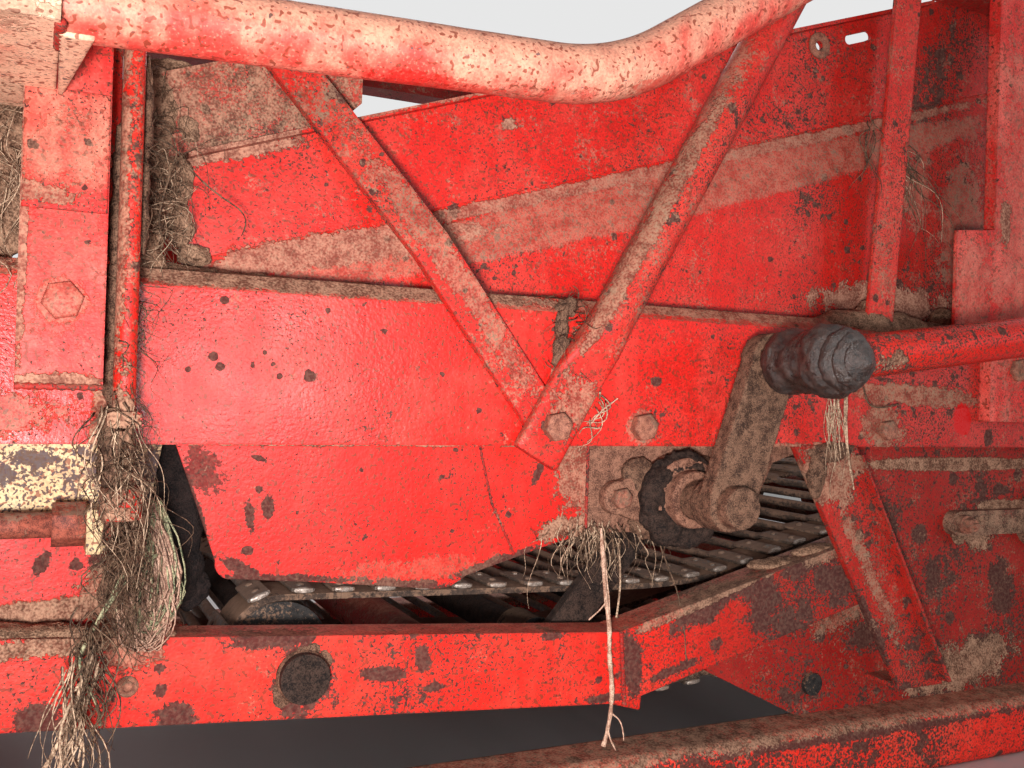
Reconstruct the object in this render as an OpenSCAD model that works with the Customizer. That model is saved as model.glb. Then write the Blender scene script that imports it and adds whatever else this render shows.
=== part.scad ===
// Web-frame section of a trailed potato digger: two side frames that carry a
// sieving web, with its trough panels, guard rail and rod-driven web agitator.
// Frame: X to the rear along the main beams, Y to the far side, Z up, floor at Z = 0.
// The side modules use a station x from the front end, a depth y inwards from the
// outer face of the main beam, and a height z above the floor.

/* [Main beams] */
// Length of the main beams
frame_len = 1440; // [1420:10:1700]
// Width over the outer faces of the two main beams
frame_width = 800; // [760:10:1100]
// Height of the underside of the main beams above the floor
beam_under = 377; // [370:1:400]
// Height of a main beam
beam_h = 140; // [130:1:160]
// Depth of a main beam, inwards
beam_d = 50; // [44:1:60]
// Wall of the folded beams
beam_wall = 5; // [3:0.5:8]
// Width and height of the sloped shoulder along the top outer edge
beam_shoulder = 14; // [6:1:20]
// Thickness of the end flanges of the main beams
flange_t = 10; // [6:1:14]
// Height that an end flange stands above and below its beam
flange_over = 34; // [28:1:44]
// Diameter of the flange bolt holes
flange_hole_d = 17; // [12:1:20]

/* [Lower beams] */
// Vertical height of a lower beam
lower_h = 70; // [60:1:80]
// Set-back of the lower beam behind the outer face of the main beam
lower_in = 8; // [6:1:12]
// Station of the mitred bend
bend_x = 678; // [660:1:700]
// Height of the top of the bend
bend_z = 194; // [190:1:198]
// Fall of the front part, in degrees
front_fall = 3.8; // [3:0.1:4.5]
// Rise of the rear part, in degrees
rear_rise = 14.3; // [13:0.1:15]
// Station of the rear end of a lower beam
lower_end_x = 1018; // [1000:1:1030]

/* [Chassis tubes and legs] */
// Width and height of a square chassis tube
chassis_s = 70; // [60:1:70]
// Corner radius of a chassis tube
chassis_r = 14; // [8:1:18]
// Wall of a chassis tube
chassis_wall = 5; // [3:0.5:8]
// Depth of the middle of a chassis tube
chassis_y = 35; // [33:1:38]
// Length of a leg along the machine
leg_w = 60; // [40:1:60]
// Gap between a rear leg and the housing of the drive shaft
leg_gap = 4; // [3:1:12]

/* [Side plates] */
// Thickness of the side plates, skirts and panels
plate_t = 5; // [4:0.5:6]
// Thickness of the plate that carries the agitator bearing
bearing_plate_t = 8; // [6:1:10]
// Height that a plate laps up on the inner face of a main beam
plate_lap = 80; // [60:1:84]
// Width of a strut
strut_w = 70; // [60:1:74]
// Thickness of a strut
strut_t = 8; // [6:1:8]
// Height of the lip folded along the rear edge of a strut
strut_lip = 14; // [8:1:18]

/* [Trough panels] */
// Slope of the joint between the lower and upper panel, in degrees
joint_slope = 16.9; // [16:0.1:17.5]
// Height of that joint at the front end of the panels
joint_z = 529; // [526:1:532]
// Slope of the top edge of the upper panel, in degrees
top_slope = 19; // [18.5:0.1:19.5]
// Height of the top edge at the front end of the panels
top_z = 620; // [610:1:626]
// Width of the sloped band under the joint
band_w = 54; // [40:1:60]
// Station of the front end of the panels
panel_x0 = 262; // [250:1:280]
// Width of the flange along the top edge of the upper panel
panel_flange = 12; // [8:1:16]
// Diameter of the hole in the upper panel
panel_hole_d = 11; // [8:1:14]
// Length of the slot in the upper panel
panel_slot_len = 42; // [30:1:60]

/* [Posts and top rails] */
// Height of the top of the top rails
top_rail_z = 968; // [960:1:1000]
// Width and height of a top rail
top_rail_s = 50; // [40:1:60]
// Width of the front post along the machine
front_post_w = 57; // [50:1:64]
// Depth of the front post, outwards
front_post_d = 60; // [50:1:66]
// Width of the rear post along the machine
rear_post_w = 90; // [70:1:95]
// Depth of the rear post, outwards
rear_post_d = 16; // [12:1:20]
// Wall of the posts
post_wall = 5; // [4:0.5:7]
// Width of the angle post
angle_w = 38; // [30:1:44]
// Depth of the inner leg of the angle post
angle_d = 38; // [30:1:42]
// Wall of the angle post
angle_t = 5; // [4:0.5:6]
// Lean of the angle post to the rear, in degrees
angle_lean = 4.7; // [3:0.1:6]

/* [Braces and guard rail] */
// Diameter of the round tubes of brace and guard rail
tube_d = 42.4; // [33.7:0.1:44]
// Width of the flat brace
flat_w = 36; // [30:1:45]
// Thickness of the flat brace
flat_t = 10; // [6:1:12]
// Distance of the guard rail's middle outside the main beam
rail_out = 187; // [160:1:220]
// Radius of the upward bend of the guard rail
rail_bend_r = 190; // [150:5:230]

/* [Sieving web] */
// Spacing of the web rods
rod_pitch = 40; // [32:1:50]
// Diameter of a web rod
web_rod_d = 11; // [8:1:12]
// Width of a web belt
belt_w = 60; // [40:1:75]
// Thickness of a web belt
belt_t = 8; // [6:1:9]
// Gap between the side frame and the edge of the web
web_gap = 40; // [36:1:60]
// Radius of the web's middle line round the nose wheels
nose_r = 50; // [45:1:55]
// Radius of the web's middle line round the drive wheels
drive_r = 62; // [56:1:66]
// Width of the rubber wheels of the nose and of the agitator
wheel_w = 50; // [36:1:56]

/* [Agitator] */
// Station of the agitator shaft
agitator_x = 762; // [755:1:770]
// Height of the agitator shaft
agitator_z = 322; // [318:1:325]
// Diameter of the agitator shaft
shaft_d = 40; // [30:1:42]
// Distance from the shaft to the pin of the rocker arm
arm_len = 150; // [130:1:160]
// Lean of the rocker arm to the rear, in degrees
arm_lean = 19.5; // [15:0.5:25]
// Width of the rocker arm
arm_w = 54; // [44:1:60]
// Thickness of the rocker arm
arm_t = 20; // [14:1:22]
// Distance of the rocker arm's inner face outside the main beam
arm_out = 32; // [28:1:45]
// Outer diameter of the drive rod
rod_d = 42; // [34:1:48]
// Length of the drive rod between its two eyes
rod_len = 600; // [500:10:680]
// Rise of the drive rod to the rear, in degrees
rod_rise = 7.6; // [5:0.1:9]
// Outer diameter of the rod's rubber-bushed eye
eye_d = 64; // [58:1:72]
// Length of that eye along its pin
eye_len = 84; // [60:1:90]
// Radius of an agitator wheel
agitator_wheel_r = 25; // [20:1:26]

/* [Front fittings] */
// Diameter of the upright control rod
control_rod_d = 16; // [12:1:18]
// Diameter of the web tensioner's rod
tension_rod_d = 20; // [16:1:22]

/* [Web drive] */
// Diameter of the drive shaft in its housings
drive_shaft_d = 35; // [30:1:40]
// Diameter of the stub end that takes the drive
drive_stub_d = 30; // [24:1:34]
// Length of the stub end
drive_stub = 60; // [40:1:70]
// Radius of the round end of the carrier of a drive shaft housing
carrier_r = 36; // [33:1:44]
// Thickness of that carrier
carrier_t = 14; // [10:1:16]
// Length of the carrier from its pivot to the drive shaft
carrier_len = 150; // [130:1:180]

/* [Hidden] */
$fn = 48;

// Clearance in a bore where nothing turns, in a running bore, and of a wheel under the web
fit_gap = 0.1;
run_gap = 0.08;
seat_gap = 0.3;

// Heights and depths that several pieces share
beam_top = beam_under + beam_h;
plate_y = beam_d;
plate_top = beam_under + plate_lap;

// Web: the middle line runs round four circles, given as x, z, radius; a
// negative radius bends the line the other way
rod_r = web_rod_d / 2;
nose_x = 363;
nose_z = 181;
drive_x = frame_len - flange_t - leg_w - leg_gap - carrier_r;
drive_z = 281;
sag_x = 760;
sag_r = 650;
sag_top_z = 219;
sag_under_z = 111;
web_circles = [[sag_x, sag_under_z + sag_r, sag_r],
               [drive_x, drive_z, drive_r],
               [sag_x, sag_top_z + sag_r, -sag_r],
               [nose_x, nose_z, nose_r]];
web_y0 = plate_y + web_gap;
web_y1 = frame_width - web_y0;
// Longest step of a small arc of the web line, and how far its chords draw in
web_step = 18;
chord_in = cos(web_step / 2);
nose_wheel_r = (nose_r - belt_t / 2) * chord_in - seat_gap;
drive_wheel_r = (drive_r - belt_t / 2) * chord_in - seat_gap;

// Left-hand normal of a heading
function normal(a) = [-sin(a), cos(a)];
function circle_c(c) = [c[0], c[1]];

// Heading of the straight stretch from circle a to circle b
function heading(a, b) =
    let (d = circle_c(b) - circle_c(a))
    atan2(d[1], d[0]) - asin((b[2] - a[2]) / norm(d));

function whole_turn(a) = (a % 360 + 360) % 360;
function wrap_turn(turn, r) = r > 0 ? whole_turn(turn) : -whole_turn(-turn);

// Samples of the web line as x, z, heading, with an arc in equal steps
web_line = [for (i = [0:3])
    let (c = web_circles[i],
         before = web_circles[(i + 3) % 4],
         after = web_circles[(i + 1) % 4],
         a0 = heading(before, c),
         turn = wrap_turn(heading(c, after) - a0, c[2]),
         steps = ceil(abs(turn) / (abs(c[2]) > 200 ? 3 : web_step)))
    for (k = [0:steps])
        let (a = a0 + turn * k / steps, p = circle_c(c) - c[2] * normal(a))
        [p[0], p[1], a]];

function web_edge(off) = [for (p = web_line) [p[0], p[1]] + off * normal(p[2])];

// Running length of the web line up to each sample
web_count = len(web_line);
function line_point(i) = [web_line[i % web_count][0], web_line[i % web_count][1]];
function web_gap_len(i) = norm(line_point(i + 1) - line_point(i));
web_run = [for (i = 0, s = 0; i <= web_count; s = s + web_gap_len(i), i = i + 1) s];
web_total = web_run[web_count];
web_rods = round(web_total / rod_pitch);

// Point on the web line at running length s
function web_point(s) =
    let (i = [for (k = [0:web_count - 1]) if (web_run[k] <= s && s < web_run[k + 1]) k][0],
         t = (s - web_run[i]) / (web_run[i + 1] - web_run[i]),
         a = web_line[i],
         b = web_line[(i + 1) % web_count])
    [a[0] + t * (b[0] - a[0]), a[1] + t * (b[1] - a[1])];

// Height of the rising part of the upper run and of the return run at station x
rise_a = heading(web_circles[1], web_circles[2]) - 180;
rise_p = circle_c(web_circles[1]) - drive_r * normal(rise_a + 180);
function upper_run_z(x) = rise_p[1] + (x - rise_p[0]) * tan(rise_a);
back_a = heading(web_circles[0], web_circles[1]);
back_p = circle_c(web_circles[1]) - drive_r * normal(back_a);
function return_run_z(x) = back_p[1] + (x - back_p[0]) * tan(back_a);

// Wheels that carry the upper run and the return run
support_r = 40;
support_x = 1080;
support_z = upper_run_z(support_x) - (support_r + belt_t / 2 + seat_gap) / cos(rise_a);
return_r = 30;
return_x = 960;
return_z = return_run_z(return_x) - (return_r + belt_t / 2 + seat_gap) / cos(back_a);
axle_d = 25;

// Rocker arm pin and the agitator wheels below the upper run
pin_x = agitator_x + arm_len * sin(arm_lean);
pin_z = agitator_z + arm_len * cos(arm_lean);
pin_d = 24;
arm_y1 = -arm_out;
arm_y0 = arm_y1 - arm_t;
shaft_y0 = arm_y0 - 18;
inner_arm_t = 12;
inner_arm_w = 36;
inner_arm_y = plate_y + bearing_plate_t + 6;
beater_x = agitator_x - 132;
beater_z = agitator_z - 154;
beater_d = 34;
eye_y1 = arm_y0 - 2;
eye_y0 = eye_y1 - eye_len;
rod_y = eye_y0 + rod_d / 2 + 4;

// Lines of the lower beam and of the panels
function lower_front_z(x) = bend_z - (x - bend_x) * tan(front_fall);
function lower_rear_z(x) = bend_z + (x - bend_x) * tan(rear_rise);
function lower_top_z(x) = x < bend_x ? lower_front_z(x) : lower_rear_z(x);
function joint_line(x) = joint_z + (x - panel_x0) * tan(joint_slope);
function top_line(x) = top_z + (x - panel_x0) * tan(top_slope);

// Posts, rails and braces
front_post_x = 138;
rear_post_x = 1162;
panel_x1 = rear_post_x + rear_post_w;
top_rail_x0 = 60;
top_rail_x1 = panel_x1 + top_rail_s + 8;
angle_x = 984;
apex_x = 582;
apex_z = beam_under + 19;
brace_top_x = 896;
kink_run = 197;
flat_top_x = 326;
flat_top_z = 730;
bracket_x0 = front_post_x - 78;
bracket_x1 = front_post_x + 20;
bracket_z0 = 628;
bracket_h = 100;
bracket_out = 215;
rail_start_z = 646.5;
rail_slope = 2.3;
rail_bend_x = 483;
rail_rise = 33;

// Colours
red = [0.78, 0.12, 0.09];
dark_red = [0.55, 0.1, 0.08];
cream = [0.85, 0.74, 0.5];
steel = [0.45, 0.42, 0.4];
rubber = [0.09, 0.09, 0.09];
soil = [0.35, 0.28, 0.22];

// Placement of a piece of the near side, its far twin, or both
mid_y = (frame_width + front_post_d - bracket_out) / 2;
module near() translate([-frame_len / 2, -mid_y, 0]) children();
module far() near() translate([0, frame_width, 0]) mirror([0, 1, 0]) children();
module both() {
    near() children();
    far() children();
}

// Upright plate or bar with an outline in x and z, from depth y, t deep
module upright(y, t) translate([0, y + t, 0]) rotate([90, 0, 0]) linear_extrude(t) children();

// Round bar across the machine
module across(x, z, y0, y1, d) translate([x, y1, z]) rotate([90, 0, 0]) cylinder(h = y1 - y0, d = d);

// Round bar between two points
module bar(a, b, d, sides = $fn) {
    v = b - a;
    translate(a)
        rotate([0, acos(v[2] / norm(v)), atan2(v[1], v[0])])
            cylinder(h = norm(v), d = d, $fn = sides);
}

module flange_holes(z0, h, y, d) {
    for (z = [z0 - flange_over / 2, z0 + h + flange_over / 2])
        translate([-1, y, z]) rotate([0, 90, 0]) cylinder(h = flange_t + 2, d = d);
}

module end_flange() {
    difference() {
        translate([0, 0, beam_under - flange_over]) cube([flange_t, beam_d, beam_h + 2 * flange_over]);
        flange_holes(beam_under, beam_h, beam_d / 2, flange_hole_d);
    }
}

module beam_profile(in) {
    s = beam_shoulder;
    k = in * 0.414;
    polygon([[in, beam_under + in], [beam_d - in, beam_under + in],
             [beam_d - in, beam_top - in], [s + k, beam_top - in], [in, beam_top - s - k]]);
}

module main_beam() {
    color(red) {
        translate([flange_t, 0, 0]) rotate([90, 0, 90]) linear_extrude(frame_len - 2 * flange_t)
            difference() {
                beam_profile(0);
                beam_profile(beam_wall);
            }
        end_flange();
        translate([frame_len - flange_t, 0, 0]) end_flange();
    }
}
module main_beam_near() near() main_beam();
module main_beam_far() far() main_beam();

module lower_outline(in) {
    front_in = lower_h / cos(front_fall) - in;
    rear_in = lower_h / cos(rear_rise) - in;
    corner = bend_x + (rear_in - front_in) / (tan(front_fall) + tan(rear_rise));
    polygon([[0, lower_front_z(0) - in], [bend_x, bend_z - in], [lower_end_x, lower_rear_z(lower_end_x) - in],
             [lower_end_x, lower_rear_z(lower_end_x) - rear_in],
             [corner, lower_front_z(corner) - front_in], [0, lower_front_z(0) - front_in]]);
}

module lower_beam() {
    color(red) difference() {
        upright(lower_in, beam_d - lower_in) lower_outline(0);
        upright(lower_in + beam_wall, beam_d - lower_in - 2 * beam_wall) difference() {
            lower_outline(beam_wall);
            translate([0, nose_z - lower_h]) square([beam_wall, 2 * lower_h]);
            translate([lower_end_x - beam_wall, bend_z - lower_h]) square([beam_wall, 3 * lower_h]);
        }
        across(nose_x, nose_z, lower_in - 1, beam_d + 1, axle_d + 2 * fit_gap);
    }
}
module lower_beam_near() near() lower_beam();
module lower_beam_far() far() lower_beam();

module round_square(s, r) {
    for (turn = [0, 90]) rotate(turn) square([s, s - 2 * r], center = true);
    for (x = [-1, 1], y = [-1, 1]) translate([x, y] * (s / 2 - r)) circle(r);
}

module chassis_tube() {
    color(red) translate([0, chassis_y, chassis_s / 2]) rotate([90, 0, 90]) linear_extrude(frame_len)
        difference() {
            round_square(chassis_s, chassis_r);
            round_square(chassis_s - 2 * chassis_wall, chassis_r - chassis_wall);
        }
}
module chassis_tube_near() near() chassis_tube();
module chassis_tube_far() far() chassis_tube();

// Front leg under the lower beam and rear leg under the main beam
module side_legs() {
    leg_in = lower_in;
    front_x = 20;
    rear_x = frame_len - flange_t - leg_w;
    under = function (x) lower_front_z(x) - lower_h / cos(front_fall);
    upright(leg_in, beam_d - leg_in)
        polygon([[front_x, chassis_s], [front_x + leg_w, chassis_s],
                 [front_x + leg_w, under(front_x + leg_w)], [front_x, under(front_x)]]);
    translate([rear_x, leg_in, chassis_s]) cube([leg_w, beam_d - leg_in, beam_under - chassis_s]);
}
module legs() color(dark_red) both() side_legs();

module front_side_plate() {
    low = lower_front_z(0) - 60;
    upright(plate_y, plate_t)
        polygon([[0, low], [225, low], [225, 215], [200, 300], [200, plate_top], [0, plate_top]]);
}
module front_side_plates() color(red) both() front_side_plate();

// Rear side plate with its tongue under the bent lower beam
module rear_side_plate() {
    upper = lower_rear_z(lower_end_x - 10) - 30;
    color(dark_red) upright(plate_y, plate_t) difference() {
        polygon([[995, plate_top], [982, 364], [1040, 262], [1010, upper],
                 [800, lower_rear_z(800) - 45], [815, 131], [939, chassis_s], [frame_len, chassis_s],
                 [frame_len, plate_top]]);
        translate([drive_x, drive_z]) circle(d = drive_shaft_d + 2 * fit_gap);
        translate([support_x, support_z]) circle(d = axle_d + 2 * fit_gap);
        translate([return_x, return_z]) circle(d = axle_d + 2 * fit_gap);
    }
}
module rear_side_plate_near() near() rear_side_plate();
module rear_side_plate_far() far() rear_side_plate();

// Skirt that closes the side between the main beam and the web
skirt_x1 = 659;
module skirt() {
    r = 14;
    upright(plate_y, plate_t) union() {
        polygon([[260, plate_top], [260, 374], [296, 272], [312, 258], [388, 251], [493, 239],
                 [512, 240], [530, 250], [578, 264], [620, 276], [skirt_x1, 285], [skirt_x1, plate_top]]);
        translate([309, 258 + r]) circle(r);
        translate([502, 239 + r]) circle(r);
    }
}
module skirts() color(red) both() skirt();

module bearing_plate() {
    x0 = skirt_x1 + 0.5;
    upright(plate_y, bearing_plate_t) difference() {
        polygon([[x0, plate_top], [x0, 285], [852, 285], [866, 296], [897, 356], [934, 368], [934, plate_top]]);
        translate([agitator_x, agitator_z]) circle(d = shaft_d + 14);
    }
}
module bearing_plates() color(soil) both() bearing_plate();

// Two-bolt flange bearing: oval foot, domed housing and inner ring
bearing_h = 46;
bolt_pitch = 144;
module flange_bearing() {
    ear_r = 17;
    foot_r = 44;
    foot_t = 14;
    translate([agitator_x, plate_y, agitator_z]) rotate([90, 0, 0]) difference() {
        union() {
            linear_extrude(foot_t) {
                circle(foot_r);
                for (side = [-1, 1]) {
                    translate([side * bolt_pitch / 2, 0]) circle(ear_r);
                    polygon([[0, foot_r - 2], [side * bolt_pitch / 2, ear_r - 1],
                             [side * bolt_pitch / 2, 1 - ear_r], [0, 2 - foot_r]]);
                }
            }
            cylinder(h = 30, r = 41);
            cylinder(h = bearing_h, r = 29);
        }
        translate([0, 0, -1]) cylinder(h = bearing_h + 2, d = shaft_d + 2 * run_gap);
    }
}
module flange_bearings() color(soil) both() flange_bearing();

// Strut from the main beam down over the end of the lower beam, with a lip along
// its rear edge and a foot folded in to the side plate
strut_top_x = 884;
strut_lean = 30.6;
strut_foot_z = 108;
module strut() {
    drop = beam_under - strut_foot_z;
    low_x = strut_top_x + drop * tan(strut_lean);
    upright(0, strut_t) polygon([[strut_top_x, beam_under], [strut_top_x + strut_w + 18, beam_under],
                                 [low_x + strut_w, strut_foot_z], [low_x, strut_foot_z]]);
    upright(-strut_lip, strut_lip) polygon([[strut_top_x + strut_w + 12, beam_under - 8],
                                            [strut_top_x + strut_w + 18 - 4, beam_under - 8],
                                            [low_x + strut_w, strut_foot_z], [low_x + strut_w - 6, strut_foot_z]]);
    translate([low_x, 0, strut_foot_z - 6]) cube([strut_w, plate_y, 6]);
}
module struts() color(red) both() strut();

// Cream bracket under the front of the main beam
module front_bracket() {
    y = plate_y - 12;
    low = beam_under - 74;
    x0 = flange_t;
    difference() {
        union() {
            upright(y, plate_t)
                polygon([[x0, low], [182, low], [206, low - 14], [236, low], [248, beam_under], [x0, beam_under]]);
            translate([x0, y, beam_under - plate_t]) cube([240 - x0, plate_y - y, plate_t]);
            translate([x0, y, low]) cube([180 - x0, plate_y - y, plate_t]);
            for (x = [14, 190]) translate([x, -4, low - 10]) cube([12, y + 4, 34]);
        }
        across(186 / 2, beam_under - 14, 0, plate_y, 9);
        translate([0, tension_y, tension_z]) rotate([0, 90, 0]) cylinder(h = 260, d = tension_rod_d + 2 * fit_gap);
    }
}
tension_y = 16;
tension_z = beam_under - 63;
module front_brackets() color(cream) both() front_bracket();

module hex_nut(x, w, af) translate([x, tension_y, tension_z]) rotate([0, 90, 0]) cylinder(h = w, d = af / cos(30), $fn = 6);

// Tensioner: threaded rod through two lugs, with its nuts
module tensioner() {
    translate([4, tension_y, tension_z]) rotate([0, 90, 0]) cylinder(h = 216, d = tension_rod_d);
    hex_nut(166, 24, 30);
    hex_nut(202, 16, 30);
}
module tensioners() color(steel) both() tensioner();

// Panel section in y and height above the joint line, swept along the slope
module swept(x, z, slope, len) translate([x, 0, z]) rotate([0, -slope, 0]) rotate([90, 0, 90]) linear_extrude(len) children();

// Lower panel: one folded section, upright below the joint, then the band that
// slopes inwards and the lip that stands behind the upper panel
band_in = 10;
joint_lip = 16;
module panel_lower() {
    low = beam_top - 44;
    long = (panel_x1 - panel_x0) / cos(joint_slope) + 80;
    deep = joint_line(panel_x1) - low;
    in = plate_y + band_in;
    color(red) intersection() {
        swept(panel_x0 - 40, joint_line(panel_x0 - 40), joint_slope, long)
            polygon([[plate_y, -deep], [plate_y + plate_t, -deep], [plate_y + plate_t, -band_w],
                     [in + plate_t, 0], [in + plate_t, joint_lip], [in, joint_lip], [in, 0],
                     [plate_y, -band_w]]);
        translate([panel_x0, 0, low]) cube([panel_x1 - panel_x0, 2 * plate_y, deep + 2 * joint_lip]);
    }
}
module panel_lower_near() near() panel_lower();
module panel_lower_far() far() panel_lower();

// Upper panel with a flange along its top edge, a hole and a slot
module panel_upper() {
    y = plate_y + band_in - plate_t;
    long = (panel_x1 - panel_x0) / cos(top_slope) + 80;
    flange_x1 = panel_x0 + (top_rail_z - top_rail_s - top_z) / tan(top_slope) - 8;
    hole_x = 951;
    slot_x = 996;
    color(red) {
        difference() {
            upright(y, plate_t)
                polygon([[panel_x0, joint_line(panel_x0)], [panel_x1, joint_line(panel_x1)],
                         [panel_x1, top_line(panel_x1)], [panel_x0, top_line(panel_x0)]]);
            across(hole_x, top_line(hole_x) - 24, 0, 2 * plate_y, panel_hole_d);
            translate([slot_x, 0, top_line(slot_x) - 24]) rotate([0, -top_slope, 0]) {
                across(0, 0, 0, 2 * plate_y, panel_hole_d);
                across(panel_slot_len - panel_hole_d, 0, 0, 2 * plate_y, panel_hole_d);
                translate([0, 0, -panel_hole_d / 2])
                    cube([panel_slot_len - panel_hole_d, 2 * plate_y, panel_hole_d]);
            }
        }
        intersection() {
            swept(panel_x0 - 40, top_line(panel_x0 - 40), top_slope, long)
                translate([y - panel_flange, -4]) square([panel_flange + plate_t, 4]);
            translate([panel_x0, 0, 0]) cube([flange_x1 - panel_x0, 2 * plate_y, top_rail_z]);
        }
    }
}
module panel_upper_near() near() panel_upper();
module panel_upper_far() far() panel_upper();

// Plate on the front end of the panels that carries the flat brace
hood_x0 = 190;
hood_x1 = 412;
module hood_plate() {
    edge = function (x, up) top_line(x) + up;
    upright(plate_y, plate_t) {
        polygon([[hood_x0, edge(hood_x0, 0)], [hood_x1 - 20, edge(hood_x1 - 20, 0)], [hood_x1, edge(hood_x1 - 20, 20)],
                 [hood_x1, edge(hood_x1, 60)], [hood_x1 - 12, edge(hood_x1, 72)], [hood_x0, edge(hood_x0, 72)]]);
    }
}
module hood_plates() color(soil) both() hood_plate();

// Channel post that stands against the outer face of the main beam
module channel_post(x, w, d, z0, z1) {
    difference() {
        translate([x, -d, z0]) cube([w, d, z1 - z0]);
        translate([x + post_wall, post_wall - d, z0 - 1])
            cube([w - 2 * post_wall, d, z1 - z0 + 2]);
    }
}

module front_post() color(red) channel_post(front_post_x, front_post_w, front_post_d, beam_under + 44, top_rail_z);
module front_post_near() near() front_post();
module front_post_far() far() front_post();

module rear_post() {
    gusset_w = 62;
    color(red) {
        channel_post(rear_post_x, rear_post_w, rear_post_d, beam_under + 31, top_rail_z);
        upright(-rear_post_d, plate_t)
            polygon([[rear_post_x - gusset_w, beam_top - 1], [rear_post_x, beam_top - 1],
                     [rear_post_x, beam_top + 116], [rear_post_x - gusset_w, beam_top + 110]]);
        translate([rear_post_x - gusset_w, -rear_post_d, beam_top - 26]) cube([gusset_w, rear_post_d, 25]);
    }
}
module rear_post_near() near() rear_post();
module rear_post_far() far() rear_post();

// Angle section that leans to the rear between main beam and top rail
module angle_post() {
    high = top_rail_z - top_rail_s - beam_top;
    intersection() {
        translate([angle_x, 4, beam_top - 30]) rotate([0, angle_lean, 0]) {
            cube([angle_w, angle_t, high + 60]);
            translate([angle_w - angle_t, 0, 0]) cube([angle_t, angle_d, high + 60]);
        }
        translate([angle_x - 40, 0, beam_top]) cube([200, plate_y, high]);
    }
}
module angle_posts() color(red) both() angle_post();

module top_rail() {
    s = top_rail_s;
    color(red) difference() {
        translate([top_rail_x0, 0, top_rail_z - s]) cube([top_rail_x1 - top_rail_x0, s, s]);
        translate([top_rail_x0 - 1, beam_wall, top_rail_z - s + beam_wall])
            cube([top_rail_x1 - top_rail_x0 + 2, s - 2 * beam_wall, s - 2 * beam_wall]);
    }
}
module top_rail_near() near() top_rail();
module top_rail_far() far() top_rail();

// Round brace: its ends are pressed flat, the foot over the flat brace on the
// beam and the top against the rail. The outline is the brace's depth along it.
module tube_brace() {
    run = [brace_top_x - apex_x, top_rail_z - top_rail_s / 2 - apex_z];
    long = norm(run);
    end_w = 48;
    end_t = 12;
    foot_y = -flat_t - end_t;
    foot_flat = 45;
    foot_taper = 110;
    top_flat = long - 45;
    top_taper = long - 90;
    translate([apex_x, 0, apex_z]) rotate([0, atan2(run[0], run[1]), 0]) {
        translate([-end_w / 2, foot_y, -34]) cube([end_w, end_t, foot_flat + 34]);
        translate([-end_w / 2, -end_t, top_flat]) cube([end_w, end_t, long + 15 - top_flat]);
        intersection() {
            translate([0, -tube_d / 2, 0]) cylinder(h = long, d = tube_d);
            rotate([90, 0, 90]) linear_extrude(end_w, center = true)
                polygon([[foot_y, foot_flat - 15], [-flat_t, foot_flat - 15], [-flat_t, foot_flat],
                         [1, foot_taper], [1, long - 30], [-end_t, long - 30], [-end_t, top_flat],
                         [-tube_d - 1, top_taper], [-tube_d - 1, foot_taper], [foot_y, foot_flat]]);
        }
    }
}
module tube_braces() color(red) both() tube_brace();

// Flat brace from the same apex: a bar bent inwards above the beam to reach the
// hood plate. The outline is the bar's depth along it.
module flat_brace() {
    run = [apex_x - flat_top_x, flat_top_z - apex_z];
    long = norm(run);
    in = plate_y;
    translate([apex_x, 0, apex_z]) rotate([0, -atan2(run[0], run[1]), 0])
        rotate([90, 0, 90]) linear_extrude(flat_w, center = true)
            polygon([[-flat_t, -20], [0, -20], [0, kink_run], [in, long - 20], [in, long + 24],
                     [in - flat_t, long + 24], [in - flat_t, long - 18], [-flat_t, kink_run + 2]]);
}
module flat_braces() color(red) both() flat_brace();

// Outrigger box that wraps round the front post and carries the guard rail
module rail_bracket() color(red) near() {
    translate([bracket_x0, -bracket_out, bracket_z0]) cube([bracket_x1 - bracket_x0, bracket_out - front_post_d, bracket_h]);
    translate([bracket_x0, -front_post_d, bracket_z0]) cube([front_post_x - bracket_x0, front_post_d, bracket_h]);
}

// Guard rail: a straight run, a bend upwards, a rising run and a stay to the top rail
module guard_rail() color(red) near() {
    y = -rail_out;
    stay_d = 34;
    stay_z = top_rail_z - 32;
    past = 24;
    bend_start = [rail_bend_x, rail_start_z + (rail_bend_x - bracket_x1) * tan(rail_slope)];
    centre = bend_start + rail_bend_r * normal(rail_slope);
    bend_end = centre - rail_bend_r * normal(rail_rise);
    stay_x = bend_end[0] + (stay_z - bend_end[1]) / tan(rail_rise);
    bend = rail_rise - rail_slope;
    trim = tube_d / 2;
    difference() {
        translate([centre[0], y, centre[1]]) rotate([90, 0, 0]) rotate([0, 0, rail_slope - 90]) {
            translate([rail_bend_r, 0, 0]) rotate([90, 0, 0])
                cylinder(h = (rail_bend_x - bracket_x1) / cos(rail_slope) + trim, d = tube_d);
            rotate_extrude(angle = bend) translate([rail_bend_r, 0]) circle(d = tube_d);
            rotate([0, 0, bend]) translate([rail_bend_r, 0, 0]) rotate([-90, 0, 0])
                cylinder(h = norm([stay_x, stay_z] - bend_end) + past, d = tube_d);
        }
        translate([bracket_x1 - 2 * tube_d, y - tube_d, rail_start_z - tube_d])
            cube([2 * tube_d, 2 * tube_d, 2 * tube_d]);
    }
    across(stay_x, stay_z, y, 0, stay_d);
}

// Upright control rod in its guide lug, with a clip on the front post
module control_rod() color(red) near() {
    x = 211;
    y = -40;
    clip_z = 690;
    bar([x, y, 330], [x, y, 745], control_rod_d);
    translate([x, y, 324]) cylinder(h = 24, d = 30);
    translate([x - 12, y - 12, 392]) cube([24, 12 - y, 12]);
    translate([front_post_x + front_post_w, y - 12, clip_z]) cube([x - front_post_x - front_post_w + 8, 24, 16]);
}

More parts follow.
